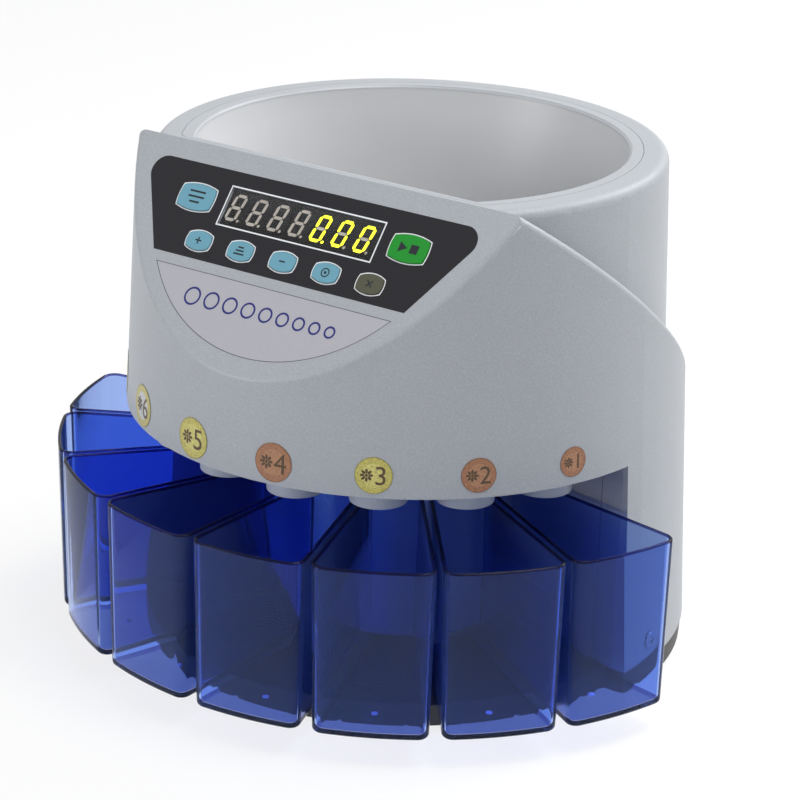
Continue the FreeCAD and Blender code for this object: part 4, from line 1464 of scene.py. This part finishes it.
@dataclass(frozen=True)
class Lamp:
    """Square soft lamp aimed at the machine's middle: place and side in metres, power in watts."""

    name: str
    place: Triple
    side: float
    power: float
    aim: Triple = (0.0, 0.0, 0.12)

    def build(self) -> None:
        """Put the lamp into the scene."""
        data = bpy.data.lights.new(self.name, "AREA")
        data.size, data.energy = self.side, self.power
        lamp = linked(self.name, data)
        lamp.location = self.place
        direction = Vector(self.aim) - Vector(self.place)
        lamp.rotation_euler = direction.to_track_quat("-Z", "Y").to_euler()


@dataclass
class Studio:
    """Pale floor, soft light and the photograph's camera."""

    focal_pixels: float = 2944.1
    image_pixels: float = 800.0
    sensor: float = 36.0
    eye: Triple = (0.8111, -1.1148, 0.6377)
    look: Triple = (-0.54834, 0.75948, -0.35002)
    roll: float = 1.47
    floor_half: float = 6.0
    floor_grey: float = 0.95
    floor_white: float = 0.8
    clear_white: float = 0.15
    ambient: float = 0.35
    ambient_colour: Colour = (0.95, 0.97, 1.0)
    lamps: tuple[Lamp, ...] = (
        Lamp("rear_lamp", (0.65, 1.85, 1.6), 1.3, 32.0),
        Lamp("front_lamp", (-2.1, -3.36, 0.65), 1.7, 66.0),
        Lamp("top_lamp", (0.7, 0.2, 2.0), 1.0, 30.0),
    )

    def build(self) -> None:
        """Make the floor, the light and the camera."""
        self.floor()
        self.surroundings()
        for lamp in self.lamps:
            lamp.build()
        self.camera()
        bpy.context.scene.view_settings.view_transform = "Standard"

    def floor(self) -> None:
        """Wide pale floor that shows white to the camera and keeps a soft shadow."""
        half = self.floor_half
        mesh = bpy.data.meshes.new("studio_floor")
        mesh.from_pydata([(-half, -half, 0), (half, -half, 0), (half, half, 0), (-half, half, 0)], [],
                         [(0, 1, 2, 3)])
        floor = linked("studio_floor", mesh)
        book = NodeBook("floor_white")
        book.set(Base_Color=(*grey(self.floor_grey), 1.0), Roughness=0.9, Specular_IOR_Level=0.1)
        white = book.add("ShaderNodeEmission", Strength=1.0)
        share = self.white_share(book, self.floor_white, self.clear_white)
        book.mixed(share, 0, (book.surface, white), book.out)
        floor.data.materials.append(book.material)

    @staticmethod
    def white_share(book: Wiring, open_share: float, clear_share: float) -> Node:
        """Share of plain white that a ray meets: from the camera or off a gloss, and through a clear wall.

        Args:
            book: The node tree.
            open_share: White for rays from the camera and off a gloss.
            clear_share: White for rays through a clear wall.

        Returns:
            The node whose first output is the share.
        """
        path = book.add("ShaderNodeLightPath")
        straight = book.add("ShaderNodeMath", operation="MAXIMUM")
        book.join(path, "Is Camera Ray", straight, 0)
        book.join(path, "Is Glossy Ray", straight, 1)
        bright = book.add("ShaderNodeMath", operation="MULTIPLY")
        bright.inputs[1].default_value = open_share
        book.join(straight, 0, bright, 0)
        either = book.add("ShaderNodeMath", operation="MULTIPLY_ADD")
        either.inputs[1].default_value = clear_share
        book.join(path, "Is Transmission Ray", either, 0)
        book.join(bright, 0, either, 2)
        return either

    def surroundings(self) -> None:
        """Even pale light from all round, behind which the background shows white."""
        world = bpy.data.worlds.new("studio_world")
        bpy.context.scene.world = world
        world.use_nodes = True
        book = Wiring(world.node_tree)
        output = book.add("ShaderNodeOutputWorld")
        ambient = book.add("ShaderNodeBackground", Color=(*self.ambient_colour, 1.0), Strength=self.ambient)
        white = book.add("ShaderNodeBackground", Color=(*grey(1.0), 1.0), Strength=1.0)
        book.mixed(self.white_share(book, 1.0, 1.0), 0, (ambient, white), output)

    def camera(self) -> None:
        """Camera at the photograph's place, direction, roll and focal length."""
        data = bpy.data.cameras.new("photo_camera")
        data.sensor_width = self.sensor
        data.lens = self.focal_pixels / self.image_pixels * self.sensor
        data.clip_start, data.clip_end = 0.05, 50.0
        camera = linked("photo_camera", data)
        turn = Vector(self.look).to_track_quat("-Z", "Y").to_matrix().to_4x4()
        roll = Matrix.Rotation(math.radians(self.roll), 4, "Z")
        camera.matrix_world = Matrix.Translation(self.eye) @ turn @ roll
        bpy.context.scene.camera = camera


def main() -> None:
    """Build the looks round the frame."""
    logging.basicConfig(level=logging.INFO, format="%(name)s: %(message)s")
    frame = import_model()
    finishes = Finishes(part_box("hopper_bowl")[1].z)
    CarriedParts(frame, finishes).build()
    made = ControlPanel(frame, finishes).build()
    made += CupRing(frame, finishes).build()
    made += TokenStickers(frame, finishes).build()
    for piece in made:
        LOG.info("%s: %d faces", piece.name, len(piece.data.polygons))
    Studio().build()


if __name__ == "__main__":
    main()
